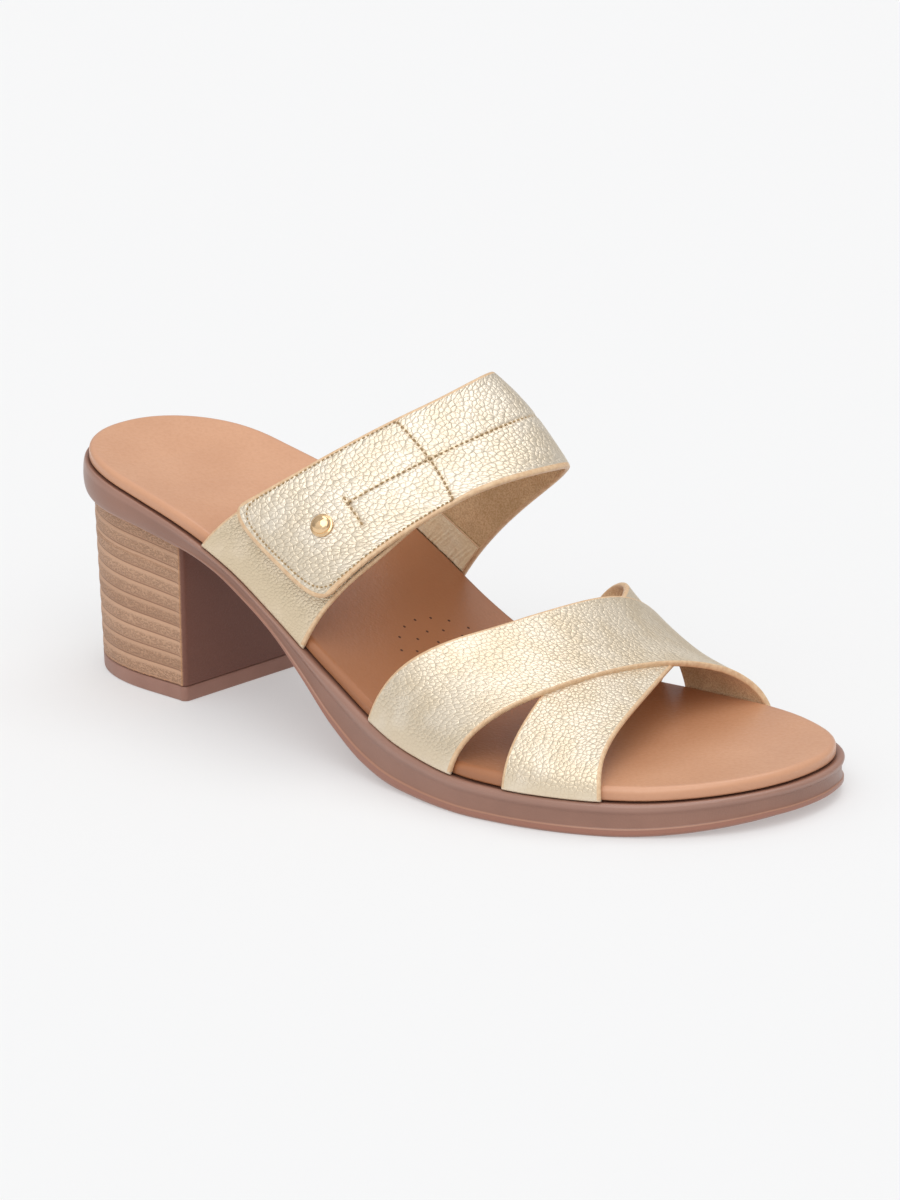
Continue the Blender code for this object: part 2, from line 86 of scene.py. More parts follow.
# %% [markdown]
# ## The sandal's own measures
#
# The model's sizes come back here under the same names. A table holds a curve as a few rows: a share
# of the length, and a share of a named size. A reader who changes a row changes the shoe.

# %% Sizes
BED_LENGTH = 0.2385       # footbed, heel to toe, measured level
BALL_WIDTH = 0.0925       # footbed, across the ball
TOE_SWING = 0.0205        # how far the toe's middle lies inward of the heel's middle
HEEL_SEAT = 0.0650        # top of the sole's side above the floor at the heel
FORE_SIDE = 0.0092        # the same at the forefoot
SEAT_BAND = 0.0098        # height of the sole's side at the back of the heel
TOE_SPRING = 0.0030       # lift of the underside at the tip of the toe
SPRING_FROM = 0.88        # share of the length where that lift begins
SOLE_LIP = 0.0024         # how far the sole reaches past the footbed
SOLE_TOP_DROP = 0.0010    # fall of the sole's top to where the footbed lies
SEAT_RIM = 0.0012         # how far inside the footbed's outline that fall begins
SEAT_SLOPE = 0.0016       # how far in it reaches
BED_THICKNESS = 0.0040
BED_EDGE_RADIUS = 0.0018
HEEL_CUP = 0.0022
CUP_SHARES = (0.10, 0.17, 0.42)
ARCH_RISE, ARCH_SHARE, ARCH_REACH = 0.0006, 0.42, 0.13
HEEL_ROUND, TOE_ROUND, ROUND_POWER = 0.032, 0.057, 2.2
HEEL_LENGTH, HEEL_WIDTH = 0.0495, 0.0500
HEEL_SET_IN, HEEL_FLARE, BREAST_LEAN, BREAST_CORNER = 0.0010, 0.0024, 0.0020, 0.0015
HEEL_TURN, HEEL_POWER = 0.70, 2.25
LIFT_THICKNESS = 0.0046
STACK_LAYERS, GROOVE_DEPTH = 10, 0.0005
STRAP_THICKNESS, BASE_THICKNESS, TAPE_THICKNESS = 0.0018, 0.0016, 0.0010
INSTEP_RISE, WALL_RISE, WALL_POWER = 0.0840, 0.0036, 5
OVERLAP_SINK = 0.0006
CROSS_RISE, TAB_SETTLE = (0.15, 0.75), (1.30, 2.30)
TAB_ANGLE, TAB_ROUND, TAB_POWER = 0.215, 0.13, 3.2
BASE_ANGLE = 1.06
TAPE_FROM, TAPE_TO, TAPE_BACK, TAPE_FRONT = 0.37, 0.94, 0.05, 0.975
STUD_RADIUS, STUD_HEIGHT, STUD_ANGLE, STUD_ACROSS = 0.0033, 0.0024, 0.468, 0.55
GAP = 0.0003
STATIONS = 180            # points along each side of a fine outline

# Footbed outline. Columns: share of length, half width as a share of half the ball width.
WIDTH_TABLE = ((0.00, 0.62), (0.12, 0.655), (0.25, 0.69), (0.38, 0.71), (0.50, 0.74),
               (0.62, 0.87), (0.74, 0.985), (0.86, 0.98), (1.00, 0.95))
# Columns: share of length, inward shift as a share of TOE_SWING.
CENTRE_TABLE = ((0.00, 0.00), (0.15, 0.03), (0.38, 0.02), (0.50, 0.00), (0.60, 0.07), (0.72, 0.29),
                (0.85, 0.60), (1.00, 1.00))
# Top of the sole's side. Columns: share of length, share of the drop from heel to forefoot.
SIDE_TABLE = ((0.00, 1.00), (0.08, 0.95), (0.16, 0.88), (0.24, 0.80), (0.32, 0.68), (0.40, 0.50),
              (0.48, 0.305), (0.56, 0.145), (0.64, 0.050), (0.72, 0.010), (0.80, 0.00), (0.90, 0.00),
              (1.00, 0.025))
# Underside. Columns: share of length, share of the heel seat's own height.
UNDER_TABLE = ((0.00, 1.000), (0.08, 0.955), (0.16, 0.918), (0.20, 0.895), (0.25, 0.870), (0.30, 0.815),
               (0.35, 0.712), (0.40, 0.580), (0.45, 0.395), (0.50, 0.200), (0.55, 0.078), (0.60, 0.025),
               (0.66, 0.005), (0.71, 0.00))
# Side wall of the sole. Columns: share of its height, reach past the footbed as shares of SOLE_LIP,
# forward of the arch and round the heel.
WALL_TABLE = ((0.00, 0.50, 0.05), (0.05, 0.80, 0.32), (0.12, 0.96, 0.52), (0.24, 0.96, 0.66),
              (0.28, 0.80, 0.69), (0.50, 0.70, 0.76), (0.66, 0.72, 0.74), (0.80, 0.93, 0.70),
              (0.89, 1.00, 0.64), (0.96, 0.90, 0.56), (1.00, 0.66, 0.46))
WALL_BLEND = (0.17, 0.36)
# Foot surface. Columns: share of length, rise above the sole's side as a share of INSTEP_RISE.
RISE_TABLE = ((0.20, 0.72), (0.35, 0.71), (0.46, 0.76), (0.56, 0.70), (0.67, 0.41), (0.77, 0.235),
              (0.86, 0.16), (0.95, 0.15))
# Inward lean of the foot's ridge. Columns: share of length, share of half the ball width.
LEAN_TABLE = ((0.20, 0.34), (0.50, 0.70), (0.65, 0.41), (0.80, -0.02), (0.95, 0.00))
# Strap edges. Columns: outer base, inner base, forward bulge, twist, all shares of the length.
STRAP_EDGES = {
    "instep back": (0.277, 0.285, 0.183, 0.014),
    "instep front": (0.449, 0.428, 0.142, -0.005),
    "upper back": (0.565, 0.718, 0.042, 0.032),
    "upper front": (0.703, 0.830, 0.004, 0.020),
    "lower back": (0.770, 0.584, 0.034, -0.010),
    "lower front": (0.877, 0.684, 0.030, -0.016),
}
INSTEP = ("instep back", "instep front")

# %% [markdown]
# ## Curves from tables
#
# A straight line between rows would show as corners, and a plain spline can swing past its rows. A
# monotone cubic does neither. All the curves of the sandal are read this way, whole arrays at once.

# %% Curves
def smooth(table, share, column=1):
    """Monotone cubic through the rows: each slope is the harmonic mean of the slopes on its two sides."""
    rows = np.array(table)
    at, value = rows[:, 0], rows[:, column]
    step = np.diff(at)
    slope = np.diff(value) / step
    rising = slope[1:] * slope[:-1] > 0
    before, after = np.where(rising, slope[:-1], 1.0), np.where(rising, slope[1:], 1.0)
    weight_a, weight_b = 2.0 * step[1:] + step[:-1], step[1:] + 2.0 * step[:-1]
    mean = (weight_a + weight_b) / (weight_a / before + weight_b / after)
    tangent = np.concatenate([slope[:1], np.where(rising, mean, 0.0), slope[-1:]])
    share = np.clip(share, at[0], at[-1])
    cell = np.clip(np.searchsorted(at, share, side="right") - 1, 0, len(at) - 2)
    t = (share - at[cell]) / step[cell]
    return ((1.0 + 2.0 * t) * (1.0 - t) ** 2 * value[cell] + t * (1.0 - t) ** 2 * step[cell] * tangent[cell]
            + t ** 2 * (3.0 - 2.0 * t) * value[cell + 1]
            + t ** 2 * (t - 1.0) * step[cell] * tangent[cell + 1])


def step_up(value, low, high):
    """Soft step from 0 to 1: 3 t squared minus 2 t cubed, between two values."""
    t = np.clip((value - low) / (high - low), 0.0, 1.0)
    return t * t * (3.0 - 2.0 * t)


def half_width(x):
    """Half the footbed's width: the table's curve times a rounded heel and a rounded toe."""
    heel = 1.0 - np.clip(1.0 - x / HEEL_ROUND, 0.0, 1.0) ** ROUND_POWER
    toe = 1.0 - np.clip(1.0 - (BED_LENGTH - x) / TOE_ROUND, 0.0, 1.0) ** ROUND_POWER
    full = BALL_WIDTH / 2.0 * smooth(WIDTH_TABLE, x / BED_LENGTH)
    return full * (heel * toe) ** (1.0 / ROUND_POWER)


def centre(x):
    """Middle line of the footbed, which swings inward toward the toe."""
    return TOE_SWING * smooth(CENTRE_TABLE, x / BED_LENGTH)


def side_top(x):
    """Height of the sole's side: the forefoot's height plus a share of the drop."""
    return FORE_SIDE + (HEEL_SEAT - FORE_SIDE) * smooth(SIDE_TABLE, x / BED_LENGTH)


def underside(x):
    """Height of the underside: heel seat, arch, flat tread, and a square-law lift at the toe."""
    share = np.clip(x / BED_LENGTH, 0.0, 1.0)
    spring = TOE_SPRING * np.maximum((share - SPRING_FROM) / (1.0 - SPRING_FROM), 0.0) ** 2
    return (HEEL_SEAT - SEAT_BAND) * smooth(UNDER_TABLE, share) + spring


def bed_top(x, y):
    """Top of the footbed: level across, less a cup at the heel, plus a swell at the inner arch."""
    x = np.clip(x, 0.0, BED_LENGTH)
    share = x / BED_LENGTH
    side = (y - centre(x)) / np.maximum(half_width(x), BED_EDGE_RADIUS)
    full, fade, gone = CUP_SHARES
    length = np.clip((gone - share) / (gone - fade), 0.0, 1.0) * np.clip(share / full, 0.0, 1.0)
    cup = HEEL_CUP * (1.0 - np.clip(side, -1.0, 1.0) ** 2) * length
    arch = ARCH_RISE * np.clip(side, 0.0, 1.0) ** 2 * np.exp(-((share - ARCH_SHARE) / ARCH_REACH) ** 2)
    return side_top(x) + BED_THICKNESS - cup + arch


def outward_of(loop):
    """Unit vectors out of a level loop, each square to the line between the two neighbours of its point."""
    along = np.roll(loop, -1, axis=0) - np.roll(loop, 1, axis=0)
    outward = np.column_stack([-along[:, 1], along[:, 0]])
    return outward / np.linalg.norm(outward, axis=1)[:, None]


def outline(offset):
    """The footbed's outline pushed out along its own normals: heel tip, inner side, toe tip, outer side."""
    x = BED_LENGTH * (1.0 - np.cos(np.pi * np.arange(1, STATIONS + 1) / (STATIONS + 1))) / 2.0
    half = half_width(x)
    inner = np.column_stack([x, centre(x) + half])
    outer = np.column_stack([x, centre(x) - half])[::-1]
    points = np.vstack([[[0.0, centre(0.0)]], inner, [[BED_LENGTH, centre(BED_LENGTH)]], outer])
    return points + offset * outward_of(points)


bed_low, bed_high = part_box("insole")
flat_x, flat_y = outline(0.0).T
TO_FRAME = np.array([bed_low[0] - flat_x.min(),
                     (bed_low[1] + bed_high[1]) / 2.0 - (flat_y.max() + flat_y.min()) / 2.0, 0.0])
print("shift from the heel's back to the frame:", np.round(TO_FRAME, 5))

# %% [markdown]
# ## From grids to pieces
#
# Every fine surface below is a grid of points. A grid may be closed on itself, as round an outline or
# round a strap's edge, and a row that shrinks to one point closes a pole. Each patch of a piece brings
# its points, its texture lengths in metres, its finish, and values that its material reads.

# %% Grids
def patch(points, round_columns=False, finish=0, **values):
    """Quads between neighbouring rows and columns of a grid, with texture lengths and point values.

    finish is the place of the quads' material in the piece's list, one for all or one for each.
    """
    rows, columns = points.shape[:2]
    i, j = np.meshgrid(np.arange(rows - 1), np.arange(columns - (not round_columns)), indexing="ij")
    i = np.stack([i, i + 1, i + 1, i], axis=-1).reshape(-1, 4)
    j = np.stack([j, j, j + 1, j + 1], axis=-1).reshape(-1, 4)
    return {"points": points.reshape(-1, 3), "faces": i * columns + j % columns,
            "texture": arc_lengths(points)[i, np.minimum(j, columns - 1)],
            "finish": np.broadcast_to(finish, len(i)),
            "values": {name: np.broadcast_to(value, (rows, columns)).ravel()
                       for name, value in values.items()}}


def arc_lengths(points):
    """Lengths in metres along the rows and the columns of a grid, from its first corner."""
    down = np.linalg.norm(np.diff(points, axis=0), axis=2)
    over = np.linalg.norm(np.diff(points, axis=1), axis=2)
    u = np.vstack([np.zeros((1, points.shape[1])), np.cumsum(down, axis=0)])
    v = np.hstack([np.zeros((points.shape[0], 1)), np.cumsum(over, axis=1)])
    return np.stack([u, v], axis=-1)


def make_piece(name, patches, materials, stands_for=(), sharp=None):
    """One mesh object from patches: moved into the frame, seams merged, faces outward, riding on the shoe."""
    points = np.vstack([part["points"] for part in patches]) + TO_FRAME
    starts = np.cumsum([0] + [len(part["points"]) for part in patches[:-1]])
    faces = np.vstack([part["faces"] + start for part, start in zip(patches, starts)])
    mesh = bpy.data.meshes.new(name)
    mesh.from_pydata(points.tolist(), [], faces.tolist())
    layer = mesh.uv_layers.new(name="lengths")
    layer.data.foreach_set("uv", np.concatenate([part["texture"].ravel() for part in patches]))
    finish = np.concatenate([part["finish"] for part in patches]).astype(np.int32)
    mesh.polygons.foreach_set("material_index", finish)
    for value in patches[0]["values"]:
        attribute = mesh.attributes.new(value, "FLOAT", "POINT")
        attribute.data.foreach_set("value", np.concatenate([part["values"][value] for part in patches]))
    body = bmesh.new()
    body.from_mesh(mesh)
    bmesh.ops.remove_doubles(body, verts=body.verts, dist=2e-6)
    bmesh.ops.dissolve_degenerate(body, edges=body.edges, dist=1e-7)
    bmesh.ops.recalc_face_normals(body, faces=body.faces)
    body.to_mesh(mesh)
    body.free()
    mesh.shade_smooth()
    if sharp is not None:
        mesh.set_sharp_from_angle(angle=math.radians(sharp))
    for material in materials:
        mesh.materials.append(material)
    piece = bpy.data.objects.new(name, mesh)
    bpy.context.scene.collection.objects.link(piece)
    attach(piece, "root")
    if stands_for:
        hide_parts(*stands_for)
    print(name, "-", len(mesh.polygons), "faces")


# %% [markdown]
# ## Shader helpers and shared effects
#
# Leather is most of what is seen here, and its grain is the main effect. A grain could be cut into the
# mesh, but cells of a millimetre and a half would take millions of faces. A bump that follows the
# piece's own texture lengths looks the same from a step away. The effects that several finishes share
# are shader node groups with named inputs.

# %% Shader helpers
def paint(red, green, blue):
    """A screen colour of 0 to 255 as the linear colour that a shader takes."""
    share = np.array([red, green, blue]) / 255.0
    linear = np.where(share <= 0.04045, share / 12.92, ((share + 0.055) / 1.055) ** 2.4)
    return (*linear.tolist(), 1.0)


def add_node(tree, kind, settings=None, **inputs):
    """A node with its settings, and inputs that are values or other nodes' sockets."""
    node = tree.nodes.new(kind)
    for name, value in (settings or {}).items():
        setattr(node, name, value)
    for name, value in inputs.items():
        key = int(name[1:]) if name[0] == "_" and name[1:].isdigit() else name.replace("_", " ")
        if isinstance(value, bpy.types.NodeSocket):
            tree.links.new(value, node.inputs[key])
        else:
            node.inputs[key].default_value = value
    return node


def maths(tree, operation, first, second=0.0, third=0.0):
    """The result socket of a Math node."""
    return add_node(tree, "ShaderNodeMath", {"operation": operation},
                    _0=first, _1=second, _2=third).outputs[0]


def times(tree, first, second):
    """The product of two values."""
    return maths(tree, "MULTIPLY", first, second)


def ramp(tree, value, low, high, to_low=0.0, to_high=1.0):
    """A value carried softly from one range to another."""
    return add_node(tree, "ShaderNodeMapRange", {"interpolation_type": "SMOOTHSTEP"}, Value=value,
                    From_Min=low, From_Max=high, To_Min=to_low, To_Max=to_high).outputs["Result"]


def blend(tree, share, first, second):
    """A mix of two colours."""
    return add_node(tree, "ShaderNodeMix", {"data_type": "RGBA"}, _0=share, _6=first, _7=second).outputs[2]


def noise(tree, place, scale, detail=2.0, settings=None, **inputs):
    """The value of a Noise texture."""
    return add_node(tree, "ShaderNodeTexNoise", settings, Vector=place, Scale=scale, Detail=detail,
                    **inputs).outputs["Fac"]


def carried(tree, name):
    """A value that the piece carries at its points."""
    return add_node(tree, "ShaderNodeAttribute", {"attribute_name": name}).outputs["Fac"]


def band(tree, value, rise, fall, peak=1.0):
    """A value that goes up between the two levels of rise and down between the two of fall."""
    return times(tree, ramp(tree, value, *rise, 0.0, peak), ramp(tree, value, *fall))


def two_tone(tree, value, low, high, first, second):
    """Two paints, one below a low level of a value and the other above a high one."""
    return blend(tree, ramp(tree, value, low, high), paint(*first), paint(*second))


def tint(tree, share, tone, *colour):
    """A tone with a share of a paint over it."""
    return blend(tree, share, tone, paint(*colour))


def feed(tree, shader, **sockets):
    """Links from sockets to the shader's inputs."""
    for label, socket in sockets.items():
        tree.links.new(socket, shader.inputs[label.replace("_", " ")])


def new_group(name, inputs, outputs):
    """An empty node group. inputs and outputs map names to socket kinds."""
    group = bpy.data.node_groups.new(name, "ShaderNodeTree")
    for way, sockets in (("INPUT", inputs), ("OUTPUT", outputs)):
        for label, kind in sockets.items():
            group.interface.new_socket(name=label, in_out=way, socket_type="NodeSocket" + kind)
    return group, group.nodes.new("NodeGroupInput"), group.nodes.new("NodeGroupOutput")


def use_group(tree, group, **inputs):
    """A group node placed in a material, with its own values."""
    return add_node(tree, "ShaderNodeGroup", {"node_tree": group}, **inputs)


def new_material(name, colour, roughness, metallic=0.0, **constants):
    """A material with a Principled shader and its constants, given back with its tree and shader."""
    material = bpy.data.materials.new(name)
    material.use_nodes = True
    tree = material.node_tree
    shader = tree.nodes["Principled BSDF"]
    shader.inputs["Base Color"].default_value = colour
    shader.inputs["Roughness"].default_value = roughness
    shader.inputs["Metallic"].default_value = metallic
    for label, value in constants.items():
        shader.inputs[label.replace("_", " ")].default_value = value
    material.diffuse_color = colour
    print("material:", name)
    return material, tree, shader


MILLIMETRES = (1000.0, 1000.0, 1000.0)


def in_millimetres(tree):
    """The piece's texture lengths, in millimetres."""
    lengths = add_node(tree, "ShaderNodeUVMap", {"uv_map": "lengths"}).outputs[0]
    return add_node(tree, "ShaderNodeMapping", Vector=lengths, Scale=MILLIMETRES).outputs[0]


def object_millimetres(tree, scale=MILLIMETRES):
    """The place on the piece, in millimetres."""
    place = tree.nodes.new("ShaderNodeTexCoord").outputs["Object"]
    return add_node(tree, "ShaderNodeMapping", Vector=place, Scale=scale).outputs[0]


def bump(tree, height, distance):
    """A Bump node's normal. distance is the height in metres of a full step."""
    return add_node(tree, "ShaderNodeBump", Height=height, Distance=distance, Strength=1.0).outputs[0]


# %% Pebbled grain
# The cells of tumbled leather: round domes that fall by the square of the distance from each cell's
# middle, bent by a slow noise so that no border is straight. A second, larger pattern deepens some of the
# creases.
FLAT = {"noise_dimensions": "2D"}
pebbles, pebble_in, pebble_out = new_group(
    "pebbled grain", {"Place": "Vector", "Cell": "Float", "Even": "Float"},
    {"Height": "Float", "Crease": "Float"})
pebble_place = pebble_in.outputs["Place"]
wander = add_node(pebbles, "ShaderNodeTexNoise", FLAT, Vector=pebble_place, Scale=0.5, Detail=1.0)
shifted = add_node(pebbles, "ShaderNodeVectorMath", {"operation": "MULTIPLY_ADD"}, _0=wander.outputs["Color"],
                   _1=(0.7, 0.7, 0.0), _2=pebble_place).outputs[0]
per_cell = maths(pebbles, "DIVIDE", 1.0, pebble_in.outputs["Cell"])


def cell_distance(feature, scale, randomness):
    """Distance in cells, from a cell's middle or from its border."""
    return add_node(pebbles, "ShaderNodeTexVoronoi", {"voronoi_dimensions": "2D", "feature": feature},
                    Vector=shifted, Scale=scale, Randomness=randomness).outputs["Distance"]


from_middle = cell_distance("F1", per_cell, 0.9)
cells = cell_distance("DISTANCE_TO_EDGE", per_cell, 0.9)
large = cell_distance("DISTANCE_TO_EDGE", times(pebbles, per_cell, 0.43), 1.0)
domes = maths(pebbles, "MULTIPLY_ADD", times(pebbles, from_middle, from_middle), -1.3,
              ramp(pebbles, cells, -0.06, 0.18, 0.6, 1.0))
folds = ramp(pebbles, large, 0.0, 0.12)
relief = times(pebbles, domes, maths(pebbles, "MULTIPLY_ADD", folds, 0.30, 0.70))
relief = maths(pebbles, "MULTIPLY_ADD", noise(pebbles, pebble_place, 3.2, 2.0, FLAT), 0.10, relief)
level = maths(pebbles, "MULTIPLY_ADD", pebble_in.outputs["Even"], -0.60, 1.0)
crease = maths(pebbles, "SUBTRACT", 1.0, ramp(pebbles, cells, -0.04, 0.16))
for value, output in ((relief, "Height"), (crease, "Crease")):
    pebbles.links.new(times(pebbles, value, level), pebble_out.inputs[output])

# %% Fine grain
# Smooth leather and moulded rubber share a finer skin: small soft cells over a slow unevenness.
fine, fine_in, fine_out = new_group("fine grain", {"Place": "Vector", "Cell": "Float"},
                                    {"Height": "Float", "Mottle": "Float"})
fine_place = fine_in.outputs["Place"]
small = add_node(fine, "ShaderNodeTexVoronoi", {"feature": "SMOOTH_F1"}, Vector=fine_place,
                 Scale=maths(fine, "DIVIDE", 1.0, fine_in.outputs["Cell"])).outputs["Distance"]
fine.links.new(maths(fine, "MULTIPLY_ADD", noise(fine, fine_place, 1.6, 3.0), 0.6, small),
               fine_out.inputs["Height"])
fine.links.new(noise(fine, fine_place, 0.05, 3.0), fine_out.inputs["Mottle"])
print("shared effects:", [group.name for group in bpy.data.node_groups])

# %% [markdown]
# ## The sole
#
# The sole is moulded in one piece and wraps up round the footbed. Its side has a bead along the top, a
# flat wall, and a thin strip just above the floor with a fine raised line where the mould parts.
# Round the heel it becomes one soft band. The profile of that wall is carried along the outline.

# %% Sole surface
WALL_ROWS = 64
CAP_ROWS = 24
CREASE_DEPTH = 0.0002     # the crease between the sole's bead and the footbed
# Columns: inset from the footbed's outline, drop in crease depths, and the mark that the rubber reads; marks
# above 1 set the painted shade in the crease.
CREASE_LOOPS = ((-0.0007, 0.10, 1.1), (-0.0003, 0.5, 1.3), (0.0001, 1.0, 1.5), (0.0007, 0.7, 1.5),
                (SEAT_RIM, 0.1, 1.5), (SEAT_RIM + SEAT_SLOPE, SOLE_TOP_DROP / CREASE_DEPTH, 1.5))


def cap_grid(loop, across, height):
    """Points across a closed loop, from its outer to its inner side, tips included, on a height function."""
    toe = STATIONS + 1
    inner = loop[:toe + 1]
    outer = np.vstack([loop[:1], loop[:toe:-1], loop[toe:toe + 1]])
    t = (np.arange(across + 1) / across)[None, :, None]
    rows = outer[:, None, :] * (1.0 - t) + inner[:, None, :] * t
    rows[:, 1:-1, 2] = height(rows[:, 1:-1, 0], rows[:, 1:-1, 1])
    return rows


def lifted(flat, height):
    """A flat loop with heights from a function of x."""
    return np.column_stack([flat, height(flat[:, 0])])


def sole_patches():
    """Side wall, crease and seat as one closed grid of loops, with the underside as a cap."""
    fore = step_up(outline(0.0)[:, 0] / BED_LENGTH, *WALL_BLEND)
    loops, marks = [], []
    for share in np.linspace(0.0, 1.0, WALL_ROWS):
        reach = smooth(WALL_TABLE, share, 1) * fore + smooth(WALL_TABLE, share, 2) * (1.0 - fore)
        loops.append(lifted(outline(reach[:, None] * SOLE_LIP),
                            lambda x: underside(x) + share * (side_top(x) - underside(x))))
        marks.append(share)
    for inset, drop, mark in CREASE_LOOPS:
        loops.append(lifted(outline(-inset), lambda x: side_top(x) - CREASE_DEPTH * drop))
        marks.append(mark)
    grid = np.array(loops)
    seat = cap_grid(grid[-1], CAP_ROWS, lambda x, y: side_top(x) - SOLE_TOP_DROP)
    tread = cap_grid(grid[0], CAP_ROWS, lambda x, y: underside(x))
    return [patch(grid, True, up=np.array(marks)[:, None], fore=fore[None, :], below=0.0),
            patch(seat, up=1.0, fore=1.0, below=0.0), patch(tread, up=0.0, fore=1.0, below=1.0)]


# %% Sole rubber
# A satin rubber in a brown with some mauve in it. The parting line is a little lighter. The bead along
# the top and the lower lip of the heel band carry a painted highlight, and the crease at the footbed a
# painted shade. The tread below has shallow cross ribs, which only a view from underneath shows.
rubber, tree, shader = new_material("sole rubber", paint(140, 104, 92), 0.34, Specular_IOR_Level=0.55)
place = object_millimetres(tree)
grain = use_group(tree, fine, Place=place, Cell=0.5)
mottle = grain.outputs["Mottle"]
up, fore, below = (carried(tree, name) for name in ("up", "fore", "below"))
line = times(tree, band(tree, up, (0.225, 0.245), (0.285, 0.260)), fore)
# Painted highlight along the lower lip of the heel band.
seat_lip_highlight = times(tree, band(tree, up, (0.02, 0.05), (0.12, 0.08), 0.8), maths(tree, "SUBTRACT", 1.0, fore))
tone = two_tone(tree, mottle, 0.30, 0.70, (141, 102, 86), (152, 111, 94))
tone = tint(tree, times(tree, ramp(tree, up, 0.25, 0.20), fore), tone, 158, 108, 90)
# Painted highlight along the bead at the top of the side.
tone = tint(tree, band(tree, up, (0.72, 0.86), (1.1, 1.0), 0.45), tone, 176, 137, 122)
# The parting line is lighter, and the heel band's lower lip gets its painted highlight.
tone = tint(tree, times(tree, maths(tree, "MAXIMUM", line, seat_lip_highlight), 0.6), tone, 190, 138, 112)
# Painted shade in the crease at the footbed.
tone = tint(tree, ramp(tree, up, 1.15, 1.45, 0.0, 0.6), tone, 96, 64, 52)
ribs = add_node(tree, "ShaderNodeTexWave", {"bands_direction": "X"}, Vector=place, Scale=0.06,
                Distortion=0.0).outputs["Fac"]
ribs = times(tree, ramp(tree, ribs, 0.25, 0.45), below)
height = maths(tree, "MULTIPLY_ADD", ribs, 14.0, grain.outputs["Height"])
feed(tree, shader, Base_Color=tone, Roughness=ramp(tree, mottle, 0.3, 0.7, 0.29, 0.38),
     Normal=bump(tree, height, 0.00003))
make_piece("moulded_sole", sole_patches(), [rubber], ["outsole"])

# %% [markdown]
# ## The footbed
#
# The footbed is a board with a little foam, covered in smooth tan leather that rolls over its edge. It
# could be a box with a bevel, but its edge follows the sole's curve in three directions. So the same
# outline is stacked in rings: a straight side, a quarter round, then the cupped top.

# %% Footbed surface
BED_ROWS, SIDE_RINGS, EDGE_RINGS = 48, 6, 10
# Painted shadow of the straps on the footbed's waist: the shares where it sets in and where it fades again.
STRAP_SHADOW_SHARES = (0.22, 0.40, 0.72, 0.93)     # shares where the leather turns deeper in tone, and pale again


def strap_shadow_share(points):
    """1 where the straps' painted shadow darkens the leather, between the two soft steps of its shares, and 0
    elsewhere.
    """
    share = points[..., 0] / BED_LENGTH
    return step_up(share, *STRAP_SHADOW_SHARES[:2]) * (1.0 - step_up(share, *STRAP_SHADOW_SHARES[2:]))


def bed_patches():
    """Rings up the side and round the edge, then the top as a cap: a quarter circle of edge radius."""
    flat = outline(0.0)
    loops = [lifted(outline(-SEAT_RIM - SEAT_SLOPE - GAP), lambda x: side_top(x) - SOLE_TOP_DROP + GAP),
             lifted(outline(-SEAT_RIM - GAP), lambda x: side_top(x) + GAP),
             lifted(outline(-GAP), lambda x: side_top(x) + GAP)]
    low, edge = side_top(flat[:, 0]) + GAP, bed_top(*flat.T) - BED_EDGE_RADIUS
    for share in np.linspace(0.12, 1.0, SIDE_RINGS):
        loops.append(np.column_stack([flat, low + share * (edge - low)]))
    for turned in np.radians(np.linspace(9.0, 90.0, EDGE_RINGS)):
        ring = outline(-BED_EDGE_RADIUS * (1.0 - math.cos(turned)))
        fall = BED_EDGE_RADIUS * (1.0 - math.sin(turned))
        loops.append(np.column_stack([ring, bed_top(*ring.T) - fall]))
    grid = np.array(loops)
    top = cap_grid(grid[-1], BED_ROWS, bed_top)
    under = cap_grid(grid[0], CAP_ROWS, lambda x, y: side_top(x) - SOLE_TOP_DROP + GAP)
    return [patch(grid, True, fore=strap_shadow_share(grid), rim=1.0),
            patch(top, fore=strap_shadow_share(top), rim=0.0), patch(under, fore=0.0, rim=0.0)]


# %% Footbed leather
# Smooth leather with a fine grain. A painted shadow of the straps darkens the waist and fades at the
# heel and the toes. Its edge, where it is stretched, is a warmer orange.
tan_leather, tree, shader = new_material("footbed leather", paint(206, 150, 112), 0.38,
                                         Specular_IOR_Level=0.5)
place = object_millimetres(tree)
grain = use_group(tree, fine, Place=place, Cell=0.9)
fleck = noise(tree, place, 0.9, 4.0)
tone = two_tone(tree, grain.outputs["Mottle"], 0.25, 0.75, (212, 158, 122), (219, 166, 130))
tone = tint(tree, ramp(tree, fleck, 0.35, 0.75, 0.0, 0.25), tone, 194, 136, 99)
tone = tint(tree, times(tree, carried(tree, "rim"), 0.7), tone, 211, 158, 125)
# Painted shadow of the straps over the footbed's waist.
tone = tint(tree, times(tree, carried(tree, "fore"), 0.85), tone, 160, 102, 65)
feed(tree, shader, Base_Color=tone, Roughness=ramp(tree, fleck, 0.3, 0.7, 0.28, 0.36),
     Normal=bump(tree, grain.outputs["Height"], 0.00004))
make_piece("footbed", bed_patches(), [tan_leather], ["insole"])

# %% [markdown]
# ## Small holes in the footbed
#
# Three arcs of small holes let air into the foam under the ball. Cutting them would leave a fan of
# thin faces round each, so each is a tiny cup, a hair below the leather's surface at its middle, with a
# dark painted shade in place of the hole's depth.

# %% Air holes
# Columns: radius of the arc, angle between its holes, holes on each side of its middle.
HOLE_ARCS = ((0.0158, 19.6, 5), (0.0112, 27.6, 4), (0.0070, 48.0, 2))
HOLE_CENTRE = (0.1285, 0.0040)
HOLE_RADIUS = 0.00042


